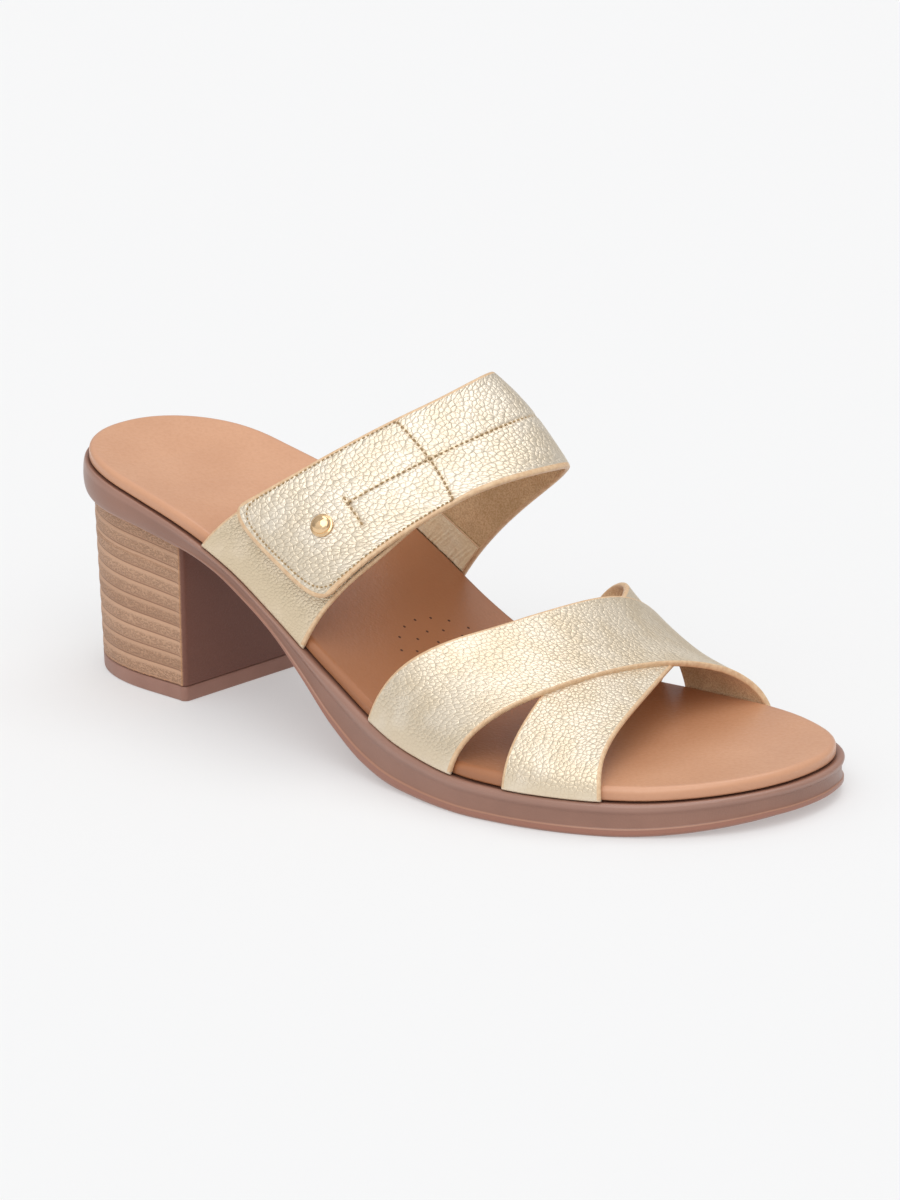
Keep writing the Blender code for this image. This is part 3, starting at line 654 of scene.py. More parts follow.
def hole_patches():
    """For each hole, rings from its rim to its middle, laid on the footbed's top.

    The holes stand at even angles on each side of the direction to the heel.
    """
    ring = np.radians(np.arange(0, 360, 30))
    size = np.array([1.0, 0.7, 0.0])[:, None] * HOLE_RADIUS
    lift = np.array([0.0, 0.00003, 0.00002])[:, None]
    patches = []
    for radius, spacing, side in HOLE_ARCS:
        for angle in np.radians(spacing) * np.arange(-side, side + 1):
            x = HOLE_CENTRE[0] - radius * np.cos(angle) + size * np.cos(ring)
            y = HOLE_CENTRE[1] + radius * np.sin(angle) + size * np.sin(ring)
            patches.append(patch(np.stack([x, y, bed_top(x, y) + lift], axis=-1), True))
    return patches


# Painted shade for the inside of each hole.
hole_painted_shade, tree, shader = new_material("painted shade inside the air holes", paint(72, 44, 32), 0.8)
speck = noise(tree, object_millimetres(tree), 4.0)
feed(tree, shader, Base_Color=blend(tree, speck, paint(60, 36, 26), paint(92, 58, 42)))
make_piece("air_holes", hole_patches(), [hole_painted_shade])

# %% [markdown]
# ## The heel block
#
# The block is moulded, with a wrap that imitates stacked leather: soft layers with grooves between
# them, which end in a thin proud edge at the front corners. The front of the block is smooth and dark.
# Rings of one D-shaped outline are stacked, and each ring's inset comes from its place in the layers.

# %% Heel surface
RING_BACK, RING_SIDE, RING_CORNER, RING_BREAST = 121, 12, 7, 25
RINGS_PER_LAYER = 12
PROUD_EDGE = 0.00022      # how far the wrap's end stands out at the breast corner
SECOND_GROOVE = 7.76      # level of a groove inside one of the layers
HEEL_MIDDLE = np.array([HEEL_LENGTH * 0.55, 0.0])


def heel_ring(height, inset):
    """D-shaped ring: a superellipse round the back, round corners, a straight breast; and its wrap share."""
    rise = height / (HEEL_SEAT - SEAT_BAND)
    back = HEEL_SET_IN * (1.0 - rise)
    breast = HEEL_SET_IN + HEEL_LENGTH + BREAST_LEAN * rise
    half = HEEL_WIDTH / 2.0 + HEEL_FLARE * rise
    arc = np.linspace(-np.pi / 2.0, np.pi / 2.0, RING_BACK)
    power = 2.0 / HEEL_POWER
    round_x = back + HEEL_LENGTH * HEEL_TURN * (1.0 - np.abs(np.cos(arc)) ** power)
    round_y = half * np.sign(arc) * np.abs(np.sin(arc)) ** power
    side_x = np.linspace(round_x[-1], breast - BREAST_CORNER, RING_SIDE)[1:-1]
    corner = np.linspace(0.0, np.pi / 2.0, RING_CORNER)
    corner_x = breast - BREAST_CORNER + BREAST_CORNER * np.sin(corner)
    corner_y = half - BREAST_CORNER + BREAST_CORNER * np.cos(corner)
    front_y = np.linspace(half - BREAST_CORNER, BREAST_CORNER - half, RING_BREAST)[1:-1]
    level_side = np.full(len(side_x), half)
    front_x = np.full(len(front_y), breast)
    x = np.concatenate([round_x, side_x, corner_x, front_x, corner_x[::-1], side_x[::-1]])
    y = np.concatenate([round_y, level_side, corner_y, front_y, -corner_y[::-1], -level_side])
    to_corner = breast - BREAST_CORNER * 0.6 - x
    wrap = step_up(to_corner, 0.0, 0.0004)
    proud = PROUD_EDGE * (1.0 - step_up(to_corner, 0.0006, 0.0013))
    push = wrap * (proud - inset * step_up(to_corner, 0.0009, 0.0022))
    ring = np.column_stack([x, y])
    return ring + outward_of(ring) * push[:, None], wrap


def layer_inset(level):
    """Inset of the wrap at a level: full at each whole level, where layers meet, and a soft crown between."""
    groove = 1.0 - np.abs(np.sin(np.pi * level)) ** 0.42
    return 0.65 * GROOVE_DEPTH * (groove + np.exp(-((level - SECOND_GROOVE) / 0.05) ** 2))


def end_caps(grid, **values):
    """Caps on the first and the last ring of a stack: each ring shrinks in two steps to its middle."""
    shrink = np.array([1.0, 0.5, 0.0])[:, None, None]
    caps = []
    for ring in (grid[0], grid[-1]):
        middle = np.array([*HEEL_MIDDLE, ring[:, 2].mean()])
        caps.append(patch(middle + (ring - middle) * shrink, True, **values))
    return caps


def heel_patches():
    """Rings from the top lift to the slanted seat, and a cap at each end."""
    foot = LIFT_THICKNESS + GAP
    full = HEEL_SEAT - SEAT_BAND
    levels = np.linspace(0.0, STACK_LAYERS, STACK_LAYERS * RINGS_PER_LAYER + 1)
    rings, wraps = [], []
    for level in levels:
        height = foot + (full - foot) * level / STACK_LAYERS
        flat, wrap = heel_ring(height, layer_inset(level) if 0.0 < level < STACK_LAYERS else 0.0)
        seat = underside(flat[:, 0]) - GAP
        rings.append(np.column_stack([flat, foot + (height - foot) * (seat - foot) / (full - foot)]))
        wraps.append(wrap)
    grid = np.array(rings)
    return [patch(grid, True, level=levels[:, None], wrap=np.array(wraps)),
            *end_caps(grid, level=0.0, wrap=0.0)]


# %% Stacked wrap
# Each layer has its own tone. Its upper lip carries a painted highlight and its foot a painted shade,
# the groove between two layers is darker, and the middle of each layer keeps a grain of small dark flecks.
stacked, tree, shader = new_material("stacked heel wrap", paint(178, 140, 112), 0.55, Specular_IOR_Level=0.35)
level, wrap = carried(tree, "level"), carried(tree, "wrap")
part_up = maths(tree, "FRACT", level)
layer_tone = add_node(tree, "ShaderNodeTexWhiteNoise", {"noise_dimensions": "1D"},
                      W=maths(tree, "FLOOR", level)).outputs["Value"]
streaks = noise(tree, object_millimetres(tree, (900.0, 900.0, 1200.0)), 1.7, 3.0)
flecks = times(tree, ramp(tree, streaks, 0.44, 0.62), band(tree, part_up, (0.05, 0.18), (0.86, 0.62)))
seam = maths(tree, "MAXIMUM", ramp(tree, part_up, 0.08, 0.03), ramp(tree, part_up, 0.95, 0.985))
tone = blend(tree, layer_tone, paint(188, 147, 118), paint(202, 161, 131))
tone = tint(tree, times(tree, flecks, 0.42), tone, 154, 113, 88)
# Painted highlight on the upper lip of each layer.
tone = tint(tree, ramp(tree, part_up, 0.60, 0.88, 0.0, 0.36), tone, 213, 173, 144)
# Painted shade at the foot of each layer.
tone = tint(tree, ramp(tree, part_up, 0.42, 0.05, 0.0, 0.30), tone, 158, 117, 93)
tone = tint(tree, times(tree, seam, 0.60), tone, 120, 82, 62)
tone = tint(tree, band(tree, wrap, (0.30, 0.6), (1.0, 0.85), 0.8), tone, 214, 162, 120)
breast_tone = blend(tree, streaks, paint(112, 72, 60), paint(126, 84, 70))
grain = use_group(tree, fine, Place=object_millimetres(tree), Cell=0.7)
height = times(tree, maths(tree, "MULTIPLY_ADD", flecks, -1.6, grain.outputs["Height"]),
               maths(tree, "MULTIPLY_ADD", wrap, 0.85, 0.15))
feed(tree, shader, Base_Color=blend(tree, wrap, breast_tone, tone),
     Roughness=ramp(tree, wrap, 0.0, 1.0, 0.42, 0.58), Normal=bump(tree, height, 0.00011))
make_piece("stacked_heel", heel_patches(), [stacked], ["heel_block"], sharp=50.0)

# %% [markdown]
# ## The top lift
#
# The brown slab that meets the floor is flush with the block. Its edge is a little rounded below, and
# a fine line runs round its top where it was glued.

# %% Top lift
# Columns: height above the floor, inset of the outline.
LIFT_TABLE = ((0.0, 0.0006), (0.00015, 0.0003), (0.0004, 0.0001), (0.0008, 0.0), (0.0036, 0.0), (0.0041, 0.0),
              (0.0044, 0.00012), (LIFT_THICKNESS, 0.0003))


def lift_patches():
    """Rings of the heel's outline: rounded at the floor, straight, then a small step in at the glue line."""
    rings = []
    for height, inset in LIFT_TABLE:
        flat = heel_ring(height, 0.0)[0]
        flat = flat + (HEEL_MIDDLE - flat) * inset / (HEEL_WIDTH / 2.0)
        rings.append(lifted(flat, lambda x: np.full(len(x), height)))
    grid = np.array(rings)
    return [patch(grid, True), *end_caps(grid)]


lift_rubber, tree, shader = new_material("top lift rubber", paint(124, 86, 76), 0.48, Specular_IOR_Level=0.4)
grain = use_group(tree, fine, Place=object_millimetres(tree), Cell=0.6)
tone = two_tone(tree, grain.outputs["Mottle"], 0.3, 0.7, (152, 112, 98), (168, 126, 111))
feed(tree, shader, Base_Color=tone, Normal=bump(tree, grain.outputs["Height"], 0.00004))
make_piece("top_lift", lift_patches(), [lift_rubber], ["heel_toplift"], sharp=50.0)

# %% [markdown]
# ## The straps
#
# A strap is cut flat from leather, lined, and painted along its cut edges, then pulled over the last.
# Here it lies on a surface shaped like a foot: an angle runs round the foot from the outer to the inner
# side, and a share runs across the strap. The section of the strap is one closed loop: the leather's
# face, a rounded painted edge, the lining, and the other edge. Carried round the foot, it gives the
# whole strap with real thickness and three finishes.

# %% Foot surface
def foot_surface(edges, angle, across):
    """Point of the foot: x swings between the bases and bulges forward, y is a leaning ellipse, z rises."""
    back, front = (np.array(STRAP_EDGES[name]) * BED_LENGTH for name in edges)
    outer, inner, bulge, twist = (back[k] * (1.0 - across) + front[k] * across for k in range(4))
    swing = (1.0 - np.cos(angle)) / 2.0
    x = outer + (inner - outer) * swing + bulge * np.sin(angle) + twist * np.sin(2.0 * angle)
    share = x / BED_LENGTH
    lean = BALL_WIDTH / 2.0 * smooth(LEAN_TABLE, share) * np.sin(angle) ** 2
    y = centre(x) - (half_width(x) + GAP) * np.cos(angle) + lean
    rise = INSTEP_RISE * smooth(RISE_TABLE, share) - WALL_RISE
    wall = WALL_RISE * (1.0 - (1.0 - np.sin(angle)) ** WALL_POWER)
    return np.stack([x, y, side_top(x) + GAP + rise * np.sin(angle) + wall], axis=-1)


def foot_normal(edges, angle, across):
    """Outward direction of the foot surface: the cross product of its two slopes."""
    step = 1e-3
    inside = np.clip(angle, step, np.pi - step)
    round_foot = foot_surface(edges, inside + step, across) - foot_surface(edges, inside - step, across)
    over_strap = foot_surface(edges, inside, across + step) - foot_surface(edges, inside, across - step)
    normal = np.cross(over_strap, round_foot)
    return normal / np.linalg.norm(normal, axis=-1)[..., None]


# The tab's inside stands off the foot by the short strap piece and the closed tape under it.
TAB_STACK = BASE_THICKNESS + TAPE_THICKNESS + 2.0 * GAP


def instep_lift(angle):
    """The tab's stand-off, falling softly to nothing over the instep."""
    return TAB_STACK * (1.0 - step_up(angle, *TAB_SETTLE))


def round_off(side):
    """How far a superellipse has fallen at a share of its half width: 0 at its middle, 1 at its side."""
    return 1.0 - (1.0 - side ** TAB_POWER) ** (1.0 / TAB_POWER)


def tab_end(across):
    """Angle where the tab ends: a rounded end, as the side of a superellipse."""
    return TAB_ANGLE + TAB_ROUND * round_off(np.abs(2.0 * np.clip(across, 0.0, 1.0) - 1.0))


def constant(value):
    """A function that gives one value at every place."""
    return lambda places: np.full(np.shape(places), value)


# %% Strap section
FACE, PAINTED, LINED = 0, 1, 2
EDGE_POINTS = 7
END_ROWS = 6
METRES_PER_RADIAN = 0.042     # of strap, about
DEEPEST = 0.0003          # depth of the deepest trough under a row of stitches


def strap_section(columns, half_edge, rim):
    """The closed section: share across, share of thickness, and finish, for the face, edge, lining, edge.

    rim is how far the edge paint reaches over the face, as a share across the strap.
    """
    middle = np.cos(np.pi * np.linspace(0.04, 0.96, columns))
    middle = (middle[0] - middle) / (middle[0] - middle[-1]) * (1.0 - 2.0 * half_edge) + half_edge
    turned = np.linspace(np.pi / 2.0, -np.pi / 2.0, EDGE_POINTS + 2)[1:-1]
    bulge = half_edge * np.cos(turned) ** 0.8
    height = 0.5 + 0.5 * np.sign(turned) * np.abs(np.sin(turned)) ** 0.7
    across = np.concatenate([middle, 1.0 - half_edge + bulge, middle[::-1], half_edge - bulge])
    thick = np.concatenate([np.ones(columns), height, np.zeros(columns), height[::-1]])
    from_edge = np.minimum(middle, 1.0 - middle)
    face = np.where(np.minimum(from_edge[1:], from_edge[:-1]) < rim, PAINTED, FACE)
    edge = np.full(EDGE_POINTS + 1, PAINTED)
    return across, thick, np.concatenate([face, edge, np.full(columns - 1, LINED), edge])


def press(face, lines):
    """How deep a face is pressed: for each line, its depth times exp(-(distance / reach) squared)."""
    depths = np.zeros(face.shape[:2])
    for path, depth, reach in lines:
        nearest = np.ones(face.shape[:2])
        for chunk in np.array_split(path, max(1, len(path) // 60)):
            gap = np.linalg.norm(face[:, :, None, :] - chunk, axis=3).min(axis=2)
            nearest = np.minimum(nearest, gap)
        depths += depth * np.exp(-(nearest / reach) ** 2)
    return depths


def strap_patch(edges, start, stop, lift, thickness, rows, columns, width, lines=(), plain=0.35,
                front=1.0, back=0.0, waves=None, taper=None, ends=(FACE, FACE), rim=0.0):
    """A strap as one closed grid.

    Rows run round the foot and shrink to a rounded end at both ends. Columns run round the section.
    lines are paths of points in which the leather's face is pressed down, as under a row of stitches.
    plain is the angle above the sole where the grain is full again. taper is the share of its width that
    the strap loses at the front edge, as a function of the angle. ends are the finishes of the two
    rounded ends, and rim is the reach of the edge paint over the face.
    """
    across, thick, finish = strap_section(columns, thickness / 2.0 / width, rim)
    across = back + (front - back) * across
    turned = np.linspace(0.0, np.pi / 2.0, END_ROWS)
    round_end = thickness / 2.0 * (1.0 - np.cos(turned)) / METRES_PER_RADIAN
    first = start(across)[None, :]
    last = np.full(first.shape, stop)
    inner_first, inner_last = first + round_end[-1], last - round_end[-1]
    body = inner_first + (inner_last - inner_first) * np.linspace(0.0, 1.0, rows)[:, None]
    angle = np.vstack([first + round_end[:-1, None], body, last - round_end[-2::-1, None]])
    squeeze = np.concatenate([np.sin(turned[:-1]), np.ones(rows), np.sin(turned[-2::-1])])[:, None]
    height = 0.5 + (thick - 0.5) * squeeze
    share = across * (1.0 - taper(angle)) if taper else np.broadcast_to(across, angle.shape)
    normal = foot_normal(edges, angle, share)
    rise = lift(angle) + thickness * height
    if waves:
        rise = rise + waves(angle, share)
    grid = foot_surface(edges, angle, share) + normal * rise[..., None]
    pressed = np.zeros(angle.shape)
    pressed[:, :columns] = press(grid[:, :columns], lines)
    grid = grid - normal * pressed[..., None]
    even = 1.0 - step_up(np.minimum(angle, np.pi - angle), 0.05, plain)
    finishes = np.tile(finish, (len(angle) - 1, 1))
    finishes[:END_ROWS - 1], finishes[1 - END_ROWS:] = ends
    return patch(grid, True, finishes.ravel(), even=even, pressed=pressed / DEEPEST)


# %% [markdown]
# ## Rows of stitches
#
# Thread sinks into leather: each stitch lies in a small trough and dips at both ends. The troughs are
# pressed into the strap's own surface, and each stitch is a small rounded length of thread. All of a
# strap's stitches are one mesh.

# %% Stitch paths
STITCH_INSET = 0.036      # edge stitching, as a share across the strap
STITCH_LENGTH = 0.78      # of a stitch, as a share of the spacing
END_INSET, END_REACH = 0.036, 0.144   # edge stitching round the tab's end, in radians
CROSS_LINE = (0.984, 0.958)   # angle of the cross line at the back edge and at the front edge


def on_strap(angle, across, sink=0.0):
    """Points on the wide strap's face, and the outward direction there."""
    normal = foot_normal(INSTEP, angle, across)
    lift = instep_lift(angle) + STRAP_THICKNESS - sink
    return foot_surface(INSTEP, angle, across) + normal * lift[:, None], normal


def evenly(points, normals, spacing):
    """A path read again at even steps of its own length."""
    step = np.linalg.norm(np.diff(points, axis=0), axis=1)
    length = np.concatenate([[0.0], np.cumsum(step)])
    count = max(2, int(round(length[-1] / spacing)))
    at = (np.arange(count) + 0.5) * length[-1] / count
    return [np.column_stack([np.interp(at, length, column) for column in values.T])
            for values in (points, normals)]


t = np.linspace(0.0, 1.0, 200)
end_share = np.linspace(STITCH_INSET, 1.0 - STITCH_INSET, 160)
end_side = np.minimum(np.abs(2.0 * end_share - 1.0) / (1.0 - 2.0 * STITCH_INSET), 1.0)
straight = TAB_ANGLE + END_INSET + END_REACH
edge_angle = np.concatenate([np.linspace(CROSS_LINE[0], straight, 120),
                             TAB_ANGLE + END_INSET + END_REACH * round_off(end_side),
                             np.linspace(straight, CROSS_LINE[1], 120)])
edge_share = np.concatenate([np.full(120, STITCH_INSET), end_share, np.full(120, 1.0 - STITCH_INSET)])
# Columns: angles, shares across, spacing, thickness of the thread, depth and reach of the trough.
PATHS = {
    "edge": (edge_angle, edge_share, 0.0014, 0.00046, 0.00012, 0.0005),
    "cross": (CROSS_LINE[0] + (CROSS_LINE[1] - CROSS_LINE[0]) * t, 0.03 + 0.94 * t,
              0.0018, 0.00062, 0.00030, 0.0008),
    "middle": (0.60 + 2.38 * t, 0.503 + 0.012 * np.sin(t * np.pi), 0.0017, 0.00054, 0.00028, 0.0008),
    "bar": (0.608 - 0.024 * t, 0.43 + 0.314 * t, 0.0018, 0.00056, 0.00030, 0.0009),
}


# %% Thread
def thread_patches():
    """Rounded lengths of thread: a circle whose radius swells and closes, bowed down at both ends."""
    around = np.radians(np.arange(0, 360, 60))[:, None]
    along = np.linspace(-1.0, 1.0, 7)[:, None]
    swell = np.sqrt(np.maximum(1.0 - along ** 4, 0.0))[..., None]
    patches = []
    for angle, across, spacing, thick, depth, _ in PATHS.values():
        points, normals = evenly(*on_strap(angle, across, depth), spacing)
        tangent = np.gradient(points, axis=0)
        tangent /= np.linalg.norm(tangent, axis=1)[:, None]
        sideways, upright = np.cross(normals, tangent)[:, None, :], normals[:, None, :]
        bow = thick * (0.3 - 0.6 * along ** 2)
        lengthwise = tangent[:, None, :] * along * spacing * STITCH_LENGTH / 2.0
        core = points[:, None, :] + lengthwise + upright * bow
        ring = (np.cos(around) * sideways + np.sin(around) * upright)[:, None]
        patches += [patch(grid, True) for grid in core[:, :, None, :] + ring * swell * thick / 2.0]
    return patches


# %% [markdown]
# ## Leathers, edge paint and lining
#
# The straps are a champagne metallic leather with a pebbled grain. The metal is a thin foil on the
# leather: it mirrors on the crowns of the pebbles and dulls in the creases, which also carry a painted
# shade. The cut edges carry a peach paint, and the lining is a tan microfibre.

# %% Metallic leather
def metallic_leather(name, cell, relief, dark, pale, metal=0.70):
    """Pebbled metallic leather. cell is the grain's size in millimetres, relief its height in metres."""
    material, tree, shader = new_material(name, paint(244, 233, 212), 0.38, metal, Specular_IOR_Level=0.5)
    place, even = in_millimetres(tree), carried(tree, "even")
    grain = use_group(tree, pebbles, Place=place, Cell=cell, Even=even)
    patches, crease = noise(tree, place, 0.09, 2.0, FLAT), grain.outputs["Crease"]
    tone = two_tone(tree, patches, 0.3, 0.7, dark, pale)
    # Painted shade in the creases between the pebbles, where the foil also dulls.
    tone = tint(tree, times(tree, crease, 0.24), tone, 188, 160, 122)
    tone = tint(tree, ramp(tree, carried(tree, "pressed"), 0.1, 1.0, 0.0, 0.45), tone, 200, 170, 126)
    dull = maths(tree, "MULTIPLY_ADD", even, 0.12, maths(tree, "MULTIPLY_ADD", crease, 0.13, 0.37))
    feed(tree, shader, Base_Color=tone, Roughness=maths(tree, "MULTIPLY_ADD", patches, 0.06, dull),
         Normal=bump(tree, grain.outputs["Height"], relief))
    return material


gold_leather, toe_leather, plain_gold, facing_leather = (metallic_leather(*row) for row in (
    ("champagne pebbled leather", 1.55, 0.00020, (233, 219, 196), (241, 230, 212)),
    ("champagne leather of the toe straps", 1.25, 0.00014, (230, 214, 188), (238, 225, 204)),
    ("champagne leather of the short piece", 1.05, 0.00022, (229, 211, 181), (238, 221, 194)),
    ("champagne leather turned inward", 1.00, 0.00016, (252, 236, 200), (255, 246, 218), 0.1)))

# %% Edge paint, lining and thread
edge_paint, tree, shader = new_material("painted strap edge", paint(226, 192, 154), 0.42,
                                        Specular_IOR_Level=0.45)
brush = noise(tree, object_millimetres(tree), 0.8, 3.0)
feed(tree, shader, Base_Color=two_tone(tree, brush, 0.3, 0.7, (216, 179, 140), (231, 199, 161)),
     Normal=bump(tree, brush, 0.0001))

lining, tree, shader = new_material("microfibre lining", paint(186, 152, 106), 0.82, Sheen_Weight=0.25,
                                    Sheen_Roughness=0.5)
place = object_millimetres(tree)
nap = noise(tree, place, 2.2, 4.0)
cloud = ramp(tree, noise(tree, place, 0.12), 0.3, 0.7, 0.0, 0.4)
tone = tint(tree, cloud, two_tone(tree, nap, 0.35, 0.65, (214, 178, 134), (242, 214, 172)), 176, 140, 94)
feed(tree, shader, Base_Color=tone, Normal=bump(tree, nap, 0.00012))

thread, tree, shader = new_material("tan thread", paint(150, 116, 72), 0.6, Sheen_Weight=0.2)
ply = add_node(tree, "ShaderNodeTexWave", {"bands_direction": "DIAGONAL"}, Vector=object_millimetres(tree),
               Scale=2.4, Distortion=1.0).outputs["Fac"]
feed(tree, shader, Base_Color=blend(tree, ply, paint(160, 126, 82), paint(204, 172, 122)),
     Normal=bump(tree, ply, 0.00006))

# %% [markdown]
# ## The wide strap
#
# It starts at the crease on the inner side, goes over the instep, and ends in a rounded tab on the
# outer side. The tab lies on the short strap piece and the tape, so the strap stands off the foot
# there and settles over the instep. A slow wave keeps it from looking machined.

# %% Wide strap
def strap_waves(angle, share):
    """Two slow sine waves that run slantwise over the strap, 0.2 and 0.1 mm high, and fade at both ends."""
    near_end = step_up(angle, 0.5, 1.2) * (1.0 - step_up(angle, 2.6, 3.0))
    return 0.00018 * near_end * (np.sin(4.0 * angle + 2.0 * share) + 0.7 * np.sin(9.0 * angle - 3.0 * share))


pressed_lines = [(evenly(*on_strap(angle, across), 0.0006)[0], depth, reach)
                 for angle, across, _, _, depth, reach in PATHS.values()]
make_piece(
    "instep_strap_leather",
    [strap_patch(INSTEP, tab_end, np.pi, instep_lift, STRAP_THICKNESS, rows=300, columns=84, width=0.040,
                 lines=pressed_lines, plain=0.20, waves=strap_waves, ends=(PAINTED, FACE), rim=0.029)],
    [gold_leather, edge_paint, lining], ["instep_strap"])
make_piece("strap_stitches", thread_patches(), [thread])

# %% Inner facing
# Where the wide strap meets the footbed on the inner side, a thin strip of the leather faces the lining.
# It was turned in by hand, so it lies in upright folds.
FACING_FROM, FACING_TO, FACING_THICKNESS, FACING_CLEAR = 0.215, 0.052, 0.0005, 0.00035


def facing_folds(angle, share):
    """Upright folds: sine waves across the strap that lean a little and fade toward the free edge."""
    near_bed = 1.0 - step_up(np.pi - angle, 0.12, FACING_FROM)
    bend = 0.03 * np.sin(31.0 * share + 24.0 * angle)
    return 0.00009 * (0.25 + 0.75 * near_bed) * (np.sin(103.0 * (share + bend) + 11.0 * angle)
                                                 + 0.8 * np.sin(61.0 * share - 19.0 * angle)
                                                 + 0.5 * np.sin(187.0 * (share - bend)))


make_piece(
    "inner_facing",
    [strap_patch(INSTEP, constant(np.pi - FACING_FROM), np.pi - FACING_TO,
                 constant(-FACING_CLEAR - FACING_THICKNESS), FACING_THICKNESS, rows=30, columns=150,
                 width=0.040, front=0.985, back=0.015, plain=0.5, waves=facing_folds, ends=(PAINTED, FACE))],
    [facing_leather, edge_paint, facing_leather])

# %% [markdown]
# ## The short piece and the tape
#
# The short piece comes up on the outer side, under the tab. It is the same leather with less grain. On
# its face lies the closing tape, of which only a dark fuzzy line shows between the two. Both narrow a
# little toward their upper end, so that the tab covers them.

# %% Short piece
def hidden_taper(angle):
    """Share of its width that a hidden upper end loses: 0.09 times a soft step up the piece."""
    return 0.09 * step_up(angle, 0.50, 0.95)


make_piece(
    "short_strap_piece",
    [strap_patch(INSTEP, constant(0.0), BASE_ANGLE, constant(0.0), BASE_THICKNESS, rows=120, columns=40,
                 width=0.040, plain=0.2, taper=hidden_taper)],
    [plain_gold, edge_paint, lining], ["instep_strap_base"])


# %% Closing tape
def tape_fuzz(angle, share):
    """Small uneven bristle: the product of two crossed sine waves, less than a tenth of a millimetre high."""
    return 0.00008 * np.sin(190.0 * angle + 37.0 * share) * np.sin(83.0 * share - 61.0 * angle)


tape_cloth, tree, shader = new_material("closing tape", paint(112, 86, 52), 0.9, Sheen_Weight=0.3)
loops = noise(tree, object_millimetres(tree), 3.0, 5.0, Roughness=0.7)
feed(tree, shader, Base_Color=two_tone(tree, loops, 0.35, 0.65, (70, 50, 24), (176, 144, 92)),
     Normal=bump(tree, loops, 0.0005))
make_piece(
    "closing_tape",
    [strap_patch(INSTEP, constant(TAPE_FROM), TAPE_TO, constant(BASE_THICKNESS + GAP), TAPE_THICKNESS,
                 rows=90, columns=40, width=0.040, front=TAPE_FRONT, back=TAPE_BACK, waves=tape_fuzz,
                 taper=hidden_taper)],
    [tape_cloth] * 3, ["closure_tape"])

# %% [markdown]
# ## The toe straps
#
# Two straps cross over the toes, and the one from the outer waist lies on top. Both run into the crease
# beside the footbed. They replace the one joined solid of the model.

# %% Toe straps
def upper_lift(angle):
    """Stand-off of the upper strap: a soft step up onto the lower one, from each side."""
    nearer = np.minimum(angle, np.pi - angle)
    return (STRAP_THICKNESS - OVERLAP_SINK) * step_up(nearer, *CROSS_RISE)


def toe_waves(angle, share):
    """A slow swell: a sine wave round the foot times the sine of the angle, so strongest at the top."""
    return 0.00012 * np.sin(angle) * np.sin(5.0 * angle + 3.0 * share)


make_piece(
    "toe_straps",
    [strap_patch(("lower back", "lower front"), constant(0.0), np.pi, constant(0.0), STRAP_THICKNESS,
                 rows=170, columns=30, width=0.026, plain=0.12, waves=toe_waves),
     strap_patch(("upper back", "upper front"), constant(0.0), np.pi, upper_lift, STRAP_THICKNESS,
                 rows=170, columns=36, width=0.034, plain=0.18, waves=toe_waves)],
    [toe_leather, edge_paint, lining], ["cross_straps"])

# %% [markdown]
# ## The stud
#
# A plain domed stud holds the tab. It is turned, so its profile is carried round a circle: a thin
# flange, a small groove, and the dome.

# %% Stud
STUD_PROFILE = ((0.00, 0.90), (0.04, 0.99), (0.12, 1.00), (0.20, 0.97), (0.25, 0.88), (0.28, 0.82),
                (0.40, 0.815), (0.55, 0.78), (0.70, 0.69), (0.83, 0.54), (0.93, 0.34), (0.985, 0.16),
                (1.00, 0.00))


def stud_patch():
    """Rings square to the strap: columns of the profile are shares of the stud's height and radius."""
    rows = np.array(STUD_PROFILE)
    length = np.concatenate([[0.0], np.cumsum(np.linalg.norm(np.diff(rows, axis=0), axis=1))])
    at = np.linspace(0.0, length[-1], 60)
    height, radius = (np.interp(at, length, column)[:, None, None] for column in rows.T)
    spot, share = np.array([STUD_ANGLE]), np.array([STUD_ACROSS])
    normal = foot_normal(INSTEP, spot, share)[0]
    seat = foot_surface(INSTEP, spot, share)[0] + normal * (TAB_STACK + STRAP_THICKNESS + GAP / 2.0)
    side = np.cross(normal, [0.0, 0.0, 1.0])
    side /= np.linalg.norm(side)
    around = np.radians(np.arange(0, 360, 5))
    circle = np.outer(np.cos(around), side) + np.outer(np.sin(around), np.cross(normal, side))
    return patch(seat + circle * radius * STUD_RADIUS + normal * height * STUD_HEIGHT, True)


stud_metal, tree, shader = new_material("light gold metal", paint(240, 204, 158), 0.14, 1.0)
wear = noise(tree, object_millimetres(tree), 1.5, 5.0)
feed(tree, shader, Base_Color=blend(tree, wear, paint(236, 198, 150), paint(246, 214, 172)),
     Roughness=ramp(tree, wear, 0.3, 0.7, 0.10, 0.22))
make_piece("domed_stud", [stud_patch()], [stud_metal], ["stud"])

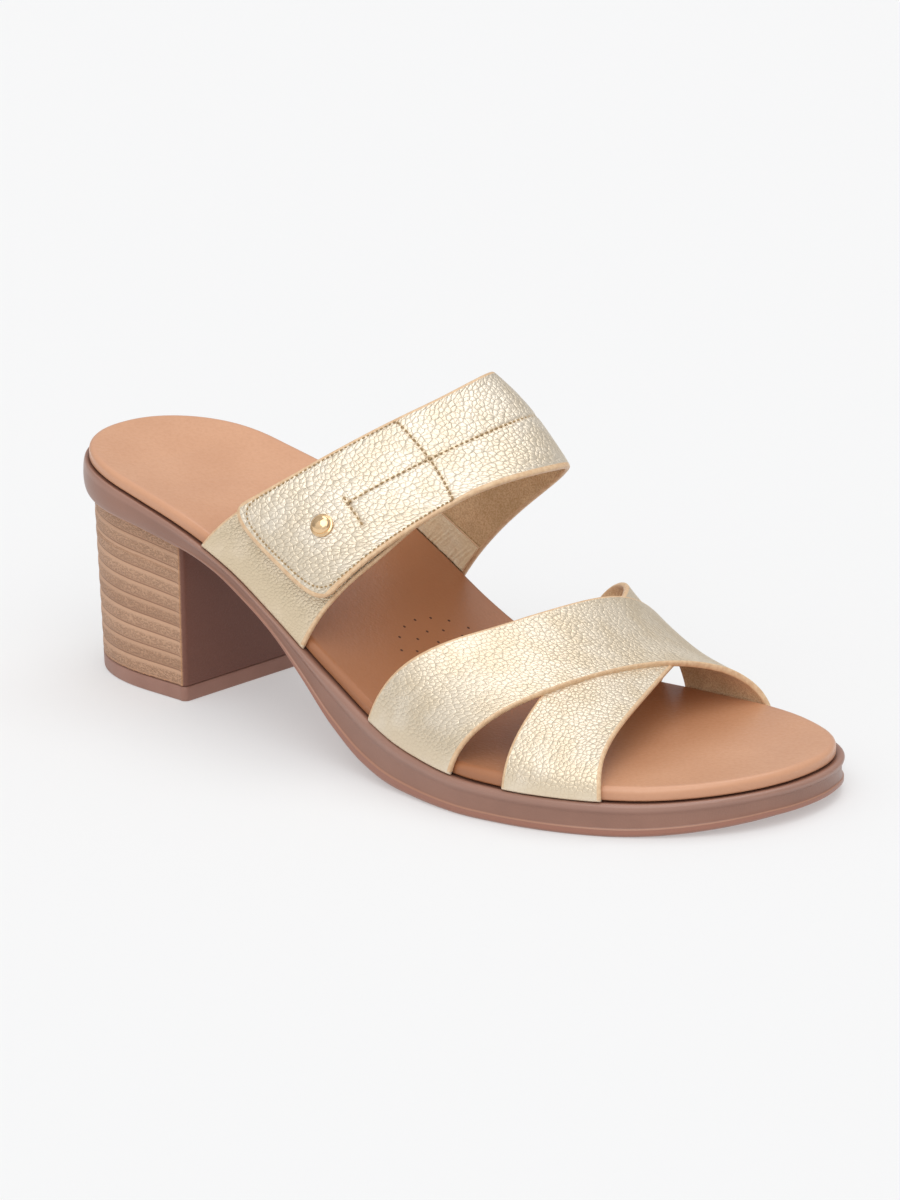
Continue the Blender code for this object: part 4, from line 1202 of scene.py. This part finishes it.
# %% [markdown]
# ## Floor and light
#
# The sandal stands on a pale seamless floor that glows a little itself, as a light table does, so that
# the shadow under the arch stays pale. A broad soft light comes from above the toes and a low one from
# the outer side. A narrower one, almost straight above and a little from the inner side, lies in the
# leather as a sheen. A sky that is brighter above than at the horizon fills the rest.

# %% Floor
FAR = 14.0
floor_mesh = bpy.data.meshes.new("floor")
floor_mesh.from_pydata([(-FAR, -FAR, 0.0), (FAR, -FAR, 0.0), (FAR, FAR, 0.0), (-FAR, FAR, 0.0)], [],
                       [(0, 1, 2, 3)])
floor = bpy.data.objects.new("floor", floor_mesh)
bpy.context.scene.collection.objects.link(floor)
paper, tree, shader = new_material("pale floor", (0.536, 0.538, 0.541, 1.0), 0.9, Specular_IOR_Level=0.1,
                                   Emission_Color=(1.0, 1.0, 1.0, 1.0), Emission_Strength=0.36)
floor_mesh.materials.append(paper)

# %% Light
bpy.context.scene.view_settings.view_transform = "Standard"
world = bpy.data.worlds.new("soft sky")
bpy.context.scene.world = world
world.use_nodes = True
tree = world.node_tree
sky = tree.nodes["Background"]
direction = tree.nodes.new("ShaderNodeTexCoord").outputs["Generated"]
height = add_node(tree, "ShaderNodeSeparateXYZ", Vector=direction).outputs["Z"]
brighter_up = ramp(tree, height, -0.1, 0.9)
feed(tree, sky, Color=blend(tree, brighter_up, (0.60, 0.60, 0.61, 1.0), (1.0, 1.0, 1.0, 1.0)))
sky.inputs["Strength"].default_value = 0.58


def add_sun(name, direction, strength, spread):
    """A sun that shines from a direction, with a soft edge of a given spread in degrees."""
    data = bpy.data.lights.new(name, "SUN")
    data.energy, data.angle = strength, math.radians(spread)
    lamp = bpy.data.objects.new(name, data)
    z = np.array(direction) / np.linalg.norm(direction)
    x = np.cross([0.0, 1.0, 0.0], z)
    x /= np.linalg.norm(x)
    turned = np.identity(4)
    turned[:3, 0], turned[:3, 1], turned[:3, 2] = x, np.cross(z, x), z
    lamp.matrix_world = Matrix(turned.tolist())
    bpy.context.scene.collection.objects.link(lamp)


add_sun("front", (0.42, -0.42, 0.80), 1.08, 60.0)
add_sun("sheen", (-0.05, 0.33, 0.94), 0.62, 40.0)
add_sun("fill", (0.20, -0.88, 0.42), 0.55, 90.0)
